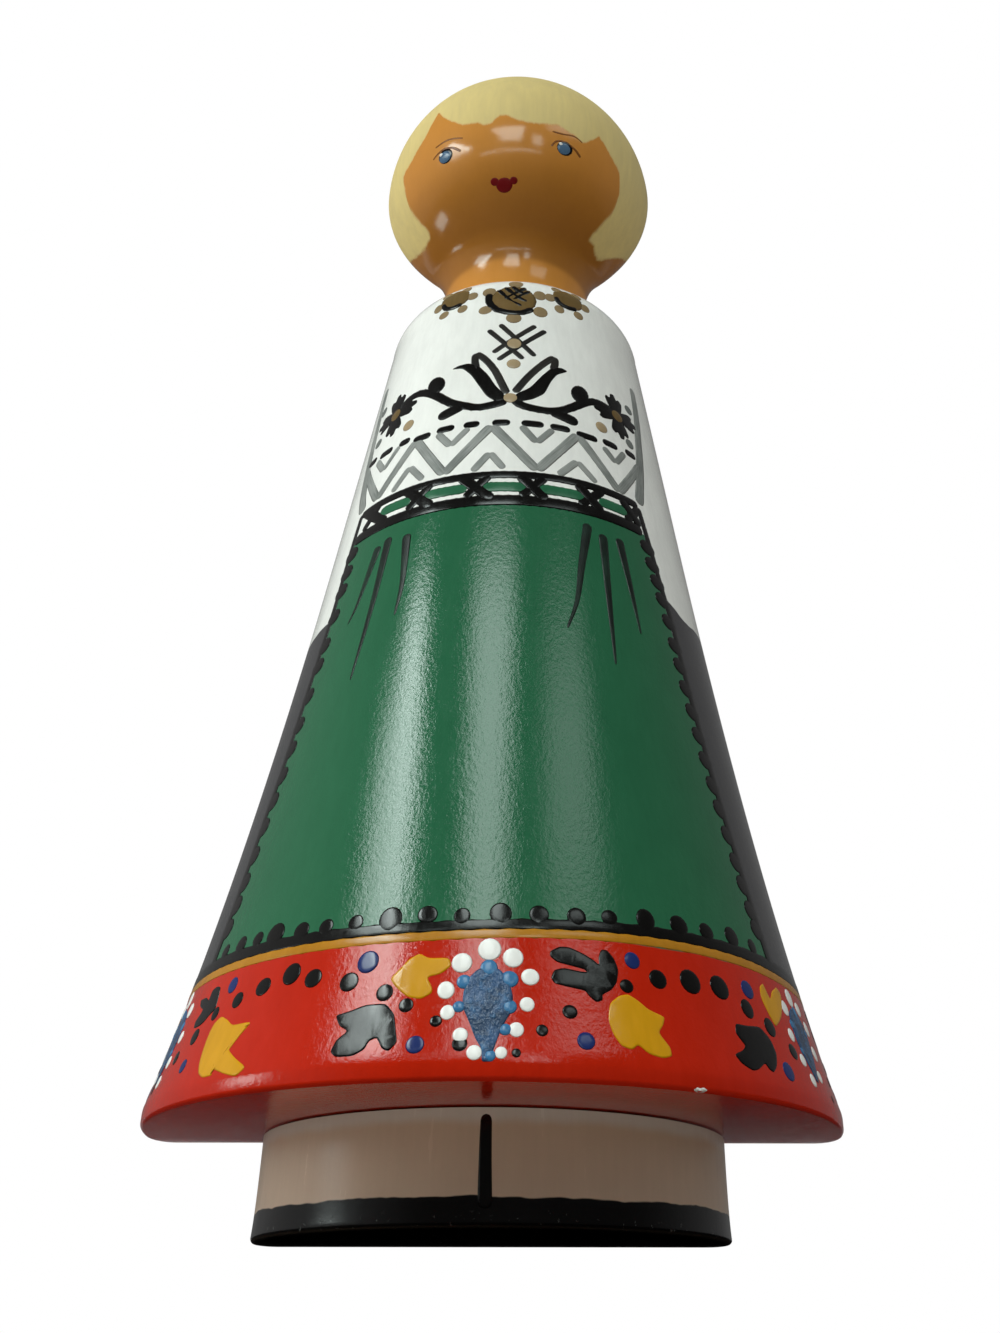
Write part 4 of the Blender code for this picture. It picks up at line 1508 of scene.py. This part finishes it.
class DOLL_OT_bodice(DollOperator, bpy.types.Operator):
    """Paints the bodice: dashes, zigzag, sleeves, the lily with its vines, flowers and dots"""

    bl_idname = "doll.bodice"
    bl_label = "Bodice"

    def execute(self, context):
        colours = self.settings.colours
        bodice = body_turning(self.settings.sizes)
        black = black_paint(colours)
        dark = thin_paint("worn_black_paint", colours.black, display(44, 40, 36), cover=0.62)
        gold = ornament("gold_paint", colours.gold, mottle=0.3)
        olive = olive_paint(colours)
        grey_dots = ornament("grey_paint", colours.grey, mottle=0.3)
        grey = thin_paint("grey_wash", colours.grey, blended(colours.grey, colours.white, 0.22), cover=0.6)

        def zigzag(brush):
            brush.strokes(zip(CHEVRON, CHEVRON[1:]), 2.7, 0.07)
            for a, b, c in SMALL_CHEVRONS:
                brush.stroke((a, b), 2.1, 0.07)
                brush.stroke((b, c), 1.9, 0.06)

        def vines(brush):
            brush.strokes((LEFT_VINE, RIGHT_VINE), 2.7)
            for angle, height, lean in VINE_BUDS:
                brush.dab(angle, height, *VINE_BUD, turn=lean)
            brush.strokes(VINE_SHOOTS, 3.6)
            brush.patches((LEFT_LILY_LEAF, RIGHT_LILY_LEAF))

        def flowers(brush):
            for angle, height, _ in FLOWERS:
                degree = bodice.degree(height)
                for petal in range(PETAL_COUNT):
                    brush.patch(petal_at(angle, height, degree, 360 / PETAL_COUNT * petal + FLOWER_LEAN))

        def outlines(brush):
            brush.strokes(LILY_PETALS, 2.1)
            brush.strokes(CROSSED_STROKES, 1.6)

        dashes = [((start, height), (end, height)) for start, end, height in DASHES]
        paint_piece("sleeve_lines", bodice, grey, lambda brush: brush.strokes(SLEEVE_LINES, 3.2, 0.07))
        paint_piece("bodice_zigzag", bodice, grey, zigzag)
        paint_piece("bodice_dashes", bodice, black, lambda brush: brush.strokes(dashes, 2.3))
        paint_piece("bodice_vines", bodice, black, vines)
        paint_piece("bodice_flowers", bodice, black, flowers)
        paint_piece("bodice_outlines", bodice, dark, outlines)
        paint_piece("bodice_gold_dots", bodice, gold, lambda brush: brush.dabs(GOLD_DOTS, 0.2))
        paint_piece("bodice_flower_centres", bodice, olive, lambda brush: brush.dabs(FLOWERS, 0.16))
        paint_piece("bodice_grey_dots", bodice, grey_dots, lambda brush: brush.dabs(GREY_DOTS))
        return {"FINISHED"}


# Necklace: the side brooches' marks are in degrees from the brooch's middle

BROOCH_HATCH = (
    ((-5.5, 233.5), (0, 229), (5, 226.5)), ((-2.5, 234.5), (2, 231), (7, 228.5)),
    ((0.5, 235), (3, 233), (6, 231.5)), ((-3, 229.5), (2, 232), (6.5, 234.5)),
    ((0.5, 229), (4, 231), (8, 233)),
)
BROOCH_SHADOW = ((-9.5, 232.5), (-9, 228.5), (-5.5, 225.2), (0, 223.8), (5, 224), (9.5, 226))
BROOCH_DOTS = (
    (-9.5, 233, 3.5), (-10.5, 225.5, 3.5), (1.5, 221.5, 4), (12.5, 225, 4), (12.5, 232, 3.5), (2, 236.5, 4),
)
SIDE_BROOCHES = (-25.5, 25.5)
SIDE_DOTS = (
    (-8.5, 232, 3), (-4.5, 228, 3), (4.5, 228, 3), (8.5, 232.5, 3), (-5, 236.5, 3), (5, 236.5, 3),
)
SIDE_SHADOW = ((-6, 233), (-4, 230.6), (0, 229.8), (4, 230.4))


class DOLL_OT_necklace(DollOperator, bpy.types.Operator):
    """Paints the necklace of three brooches under the neck"""

    bl_idname = "doll.necklace"
    bl_label = "Necklace"

    def execute(self, context):
        colours = self.settings.colours
        bodice = body_turning(self.settings.sizes)
        olive = olive_paint(colours)
        beads = ornament("bead_paint", blended(colours.olive, colours.gold, 0.5), mottle=0.35)
        black = black_paint(colours)

        def brooches(brush):
            brush.dab(1, 229.2, 13, 12, 0.2)
            for side in SIDE_BROOCHES:
                brush.dab(side, 233.2, 9.5, 8.0, 0.2)

        def dots(brush):
            brush.dabs(BROOCH_DOTS)
            for side in SIDE_BROOCHES:
                brush.dabs(shifted(SIDE_DOTS, side))

        def hatching(brush):
            brush.stroke(BROOCH_SHADOW, 2.3, 0.24)
            brush.strokes(BROOCH_HATCH, 1.6, 0.22)
            brush.strokes([shifted(SIDE_SHADOW, side) for side in SIDE_BROOCHES], 1.8, 0.24)

        paint_piece("necklace_beads", bodice, beads, dots)
        paint_piece("necklace_brooches", bodice, olive, brooches)
        paint_piece("necklace_hatching", bodice, black, hatching)
        return {"FINISHED"}


# Face and legs

EYES = ((-31, 289.5), (21.5, 289.5))
LIDS = (
    ((-37.5, 290.5), (-34.5, 291.5), (-31, 292), (-27, 291), (-23.5, 289)),
    ((15.5, 289), (17.5, 291), (20.5, 291.5), (23.5, 291), (26.5, 290), (29, 288.5)),
)
BROWS = (
    ((-35.5, 294), (-30, 294.5), (-26, 294), (-22, 293)),
    ((15.5, 294), (20, 294), (23.5, 294.5), (26, 294.5), (29, 293.5)),
)
MOUTH = (-5, 277.5)
MOUTH_CORNER = (4.6, 1)  # degrees and millimetres from the middle
LEG_LINE = ((0.5, 18.6), (0.5, 12), (0.7, 3))


class DOLL_OT_face(DollOperator, bpy.types.Operator):
    """Paints the eyes, lids, brows and mouth"""

    bl_idname = "doll.face"
    bl_label = "Face"

    def execute(self, context):
        colours = self.settings.colours
        face = head_turning(self.settings.sizes)
        black = black_paint(colours)
        iris = ornament("iris_paint", colours.iris, mottle=0.5, gloss=0.12)
        white = ornament("white_paint", colours.white, mottle=0.08)
        brown = ornament("lid_paint", colours.brown, mottle=0.3)
        lips = ornament("lip_paint", colours.lips, mottle=0.3, gloss=0.3, shine=0.3)

        def in_eyes(brush, across, up, *size_and_lift):
            for angle, height in EYES:
                brush.dab(angle + across, height + up, *size_and_lift)

        def mouth(brush):
            angle, height = MOUTH
            across, up = MOUTH_CORNER
            brush.dab(angle, height, 4.9, 3.6, 0.14)
            brush.dab(angle - across, height + up, 2.5, 2.0)
            brush.dab(angle + across, height + up, 2.3, 1.9)

        def lids(brush):
            brush.strokes(LIDS, 0.9, 0.06, ends=(0.6, 0.9), step=0.6)
            brush.strokes(BROWS, 0.85, 0.06, ends=(0.7, 0.5), step=0.6)

        paint_piece("eye_rims", face, black, lambda brush: in_eyes(brush, 0, 0, 5.0, 4.6, 0.12))
        paint_piece("irises", face, iris, lambda brush: in_eyes(brush, -0.3, -0.2, 4.3, 3.9, 0.2))
        # White dabs painted as a highlight in each eye
        paint_piece("painted_eye_highlights", face, white, lambda brush: in_eyes(brush, -2, 1, 1.3, 1.1, 0.26))
        paint_piece("lids_and_brows", face, brown, lids)
        paint_piece("mouth", face, lips, mouth)
        return {"FINISHED"}


class DOLL_OT_legs(DollOperator, bpy.types.Operator):
    """Paints the line that parts the legs"""

    bl_idname = "doll.legs"
    bl_label = "Leg line"

    def execute(self, context):
        legs = leg_turning(self.settings.sizes)
        black = black_paint(self.settings.colours)

        def line(brush):
            brush.stroke(LEG_LINE, 2.4, 0.15, ends=(0.85, 1.1), step=0.8)

        paint_piece("leg_line", legs, black, line)
        return {"FINISHED"}


# Stage

FLOOR_DROP = 0.2 * MM  # keeps the floor clear of the sole
NEAR_LIGHT = (0.88, 1.0, 0.97)  # the near lamps are a little cold
# Strips face down, as middle and size in metres, turn in degrees and watts.
# Their mirror images streak the gloss.
STRIP_HEIGHT = 0.45
STRIPS = {
    "left_core": (-0.326, -0.336, 0.06, 0.325, -17, 0.72),
    "left_strip": (-0.405, -0.34, 0.14, 0.29, -34, 0.75),
    "middle_strip": (-0.038, -0.41, 0.135, 0.28, 0, 0.6),
}
# Cards stand upright and face the doll, as azimuth in degrees, then distance, height,
# width and tallness in metres, and watts
CARDS = {
    "low_card": (-5, 0.465, 0.35, 0.4, 0.012, 0.08),
    "left_card": (-80, 0.465, 0.125, 0.1, 0.08, 0.12),
    "brow_card": (15, 1.0, 0.62, 0.12, 0.18, 0.28),
    "right_card": (35, 1.1, 1.12, 0.48, 0.36, 1.0),
}
# Panels are far off, as azimuth and elevation in degrees, width and height in metres and watts.
# They don't show in the gloss.
PANEL_DISTANCE = 2.2
PANEL_AIM = 0.17  # height that they face
PANELS = {
    "left_panel": (-100, 15, 2.2, 1.4, 23.0),
    "right_panel": (85, 25, 1.8, 1.6, 6.5),
    "upper_panel": (-40, 58, 1.4, 1.4, 24.0),
}


def lamp(name, place, towards, width, height, watts, shade=(1, 1, 1)):
    """A flat lamp that the camera doesn't see."""
    light = bpy.data.lights.new(name, "AREA")
    light.shape = "RECTANGLE"
    light.size = width
    light.size_y = height
    light.energy = watts
    light.color = shade
    holder = put_in_scene(name, light)
    holder.location = place
    holder.rotation_euler = (place - towards).to_track_quat("Z", "Y").to_euler()
    holder.visible_camera = False
    return holder


def around(azimuth, elevation):
    """Way out from the doll, azimuth to the viewer's right of the front, in degrees."""
    turn, up = math.radians(azimuth), math.radians(elevation)
    return Vector((math.sin(turn) * math.cos(up), -math.cos(turn) * math.cos(up), math.sin(up)))


def light_doll(strips, panels):
    """Places every lamp, with a share of full light for the near and the far ones."""
    for name, (across, front, width, depth, turn, watts) in STRIPS.items():
        place = Vector((across, front, STRIP_HEIGHT))
        strip = lamp(name, place, Vector((across, front, 0)), width, depth, watts * strips, NEAR_LIGHT)
        strip.rotation_euler = (0, 0, math.radians(turn))
    for name, (azimuth, distance, height, width, tall, watts) in CARDS.items():
        middle = Vector((0, 0, height))
        lamp(name, middle + distance * around(azimuth, 0), middle, width, tall, watts * strips, NEAR_LIGHT)
    middle = Vector((0, 0, PANEL_AIM))
    for name, (azimuth, elevation, width, height, watts) in PANELS.items():
        place = middle + PANEL_DISTANCE * around(azimuth, elevation)
        lamp(name, place, middle, width, height, watts * panels).visible_glossy = False


def mixed_shader(tree, share, first, second):
    node = add_node(tree, "ShaderNodeMixShader")
    for socket, value in zip(node.inputs, (share, first, second)):
        tree.links.new(value, socket)
    return node.outputs[0]


def floor_material():
    """Pale floor that shows only from above and throws a little warm light back up."""
    material, tree, shader = new_material("pale_floor")
    ray = add_node(tree, "ShaderNodeLightPath").outputs
    pale = mixed(tree, speckle(tree, (0.02, 0.02, 0.02)), (0.80, 0.80, 0.79), (0.86, 0.86, 0.85))
    far = rise(tree, parts_of(tree, in_millimetres(tree))["Y"], 300, 600)
    mirrored = mixed(tree, far, (0.02, 0.02, 0.02), (0.6, 0.6, 0.6))
    dim = mixed(tree, ray["Is Glossy Ray"], (0.36, 0.31, 0.27), mirrored)
    feed(tree, shader.inputs["Base Color"], mixed(tree, ray["Is Camera Ray"], dim, pale))
    shader.inputs["Roughness"].default_value = 0.9
    shader.inputs["Specular IOR Level"].default_value = 0.1
    below = add_node(tree, "ShaderNodeNewGeometry").outputs["Backfacing"]
    clear = add_node(tree, "ShaderNodeBsdfTransparent").outputs[0]
    both = mixed_shader(tree, below, shader.outputs[0], clear)
    tree.links.new(both, tree.nodes["Material Output"].inputs["Surface"])
    return material


def light_world():
    """Soft light from all round, brighter above; the backdrop itself is white."""
    world = bpy.data.worlds.new("studio")
    bpy.context.scene.world = world
    world.use_nodes = True
    tree = world.node_tree
    tree.nodes.clear()
    way = parts_of(tree, coordinates(tree, "Generated"))
    ray = add_node(tree, "ShaderNodeLightPath").outputs
    glow = mixed(tree, rise(tree, way["Z"], -0.3, 0.8), (0.03, 0.027, 0.025), (0.42, 0.43, 0.44))
    room = mixed(tree, rise(tree, way["Y"], -0.4, 0.5), (0.04, 0.04, 0.04), (0.16, 0.16, 0.16))
    room = mixed(tree, rise(tree, way["X"], -0.5, -1.0), room, (0.25, 0.25, 0.25))
    backdrop = mixed(tree, ray["Is Camera Ray"], room, (1, 1, 1))
    lights = []
    for shade in (glow, backdrop):
        light = add_node(tree, "ShaderNodeBackground")
        tree.links.new(shade, light.inputs["Color"])
        lights.append(light.outputs[0])
    shown = maths(tree, "MAXIMUM", ray["Is Camera Ray"], ray["Is Glossy Ray"])
    out = add_node(tree, "ShaderNodeOutputWorld")
    tree.links.new(mixed_shader(tree, shown, *lights), out.inputs["Surface"])


class DOLL_OT_stage(DollOperator, bpy.types.Operator):
    """Sets the floor, the lamps, the backdrop and the camera"""

    bl_idname = "doll.stage"
    bl_label = "Stage"

    def execute(self, context):
        stage = self.settings.stage
        scene = bpy.context.scene
        scene.view_settings.view_transform = "Standard"
        bm = bmesh.new()
        bmesh.ops.create_circle(bm, cap_ends=True, segments=96, radius=stage.floor_radius)
        bmesh.ops.translate(bm, verts=bm.verts, vec=(0, 0, -FLOOR_DROP))
        floor = put_in_scene("floor", mesh_from("floor", bm))
        floor.data.materials.append(floor_material())
        light_world()
        light_doll(stage.strips, stage.panels)
        view = bpy.data.cameras.new("camera")
        view.sensor_width = 36
        view.lens = stage.lens
        view.shift_x, view.shift_y = stage.shift
        view.clip_start = 0.01
        camera = put_in_scene("camera", view)
        camera.matrix_world = (
            Matrix.Translation(stage.camera_place)
            @ Matrix.Rotation(stage.yaw, 4, "Z")
            @ Matrix.Rotation(math.pi / 2 + stage.pitch, 4, "X")
            @ Matrix.Rotation(stage.roll, 4, "Z")
        )
        scene.camera = camera
        return {"FINISHED"}


OPERATORS = (
    DOLL_OT_turned_wood,
    DOLL_OT_hanger,
    DOLL_OT_hem,
    DOLL_OT_apron,
    DOLL_OT_bodice,
    DOLL_OT_necklace,
    DOLL_OT_face,
    DOLL_OT_legs,
    DOLL_OT_stage,
)


class VIEW3D_PT_wall_doll(bpy.types.Panel):
    """Lists the doll's operators and settings"""

    bl_idname = "VIEW3D_PT_wall_doll"
    bl_label = "Wall doll"
    bl_space_type = "VIEW_3D"
    bl_region_type = "UI"
    bl_category = "Wall doll"

    def draw(self, context):
        for operator in OPERATORS:
            self.layout.operator(operator.bl_idname)
        settings = context.scene.wall_doll
        for group in (settings.sizes, settings.colours, settings.stage):
            box = self.layout.box()
            for name in group.__annotations__:
                box.prop(group, name)


CLASSES = (DollSizes, DollColours, DollStage, DollSettings, *OPERATORS, VIEW3D_PT_wall_doll)


def register():
    for item in CLASSES:
        bpy.utils.register_class(item)
    bpy.types.Scene.wall_doll = PointerProperty(type=DollSettings)


def unregister():
    del bpy.types.Scene.wall_doll
    for item in reversed(CLASSES):
        bpy.utils.unregister_class(item)


def main():
    register()
    bpy.ops.doll.turned_wood()
    bpy.ops.doll.hanger()
    bpy.ops.doll.hem()
    bpy.ops.doll.apron()
    bpy.ops.doll.bodice()
    bpy.ops.doll.necklace()
    bpy.ops.doll.face()
    bpy.ops.doll.legs()
    bpy.ops.doll.stage()


if __name__ == "__main__":
    main()
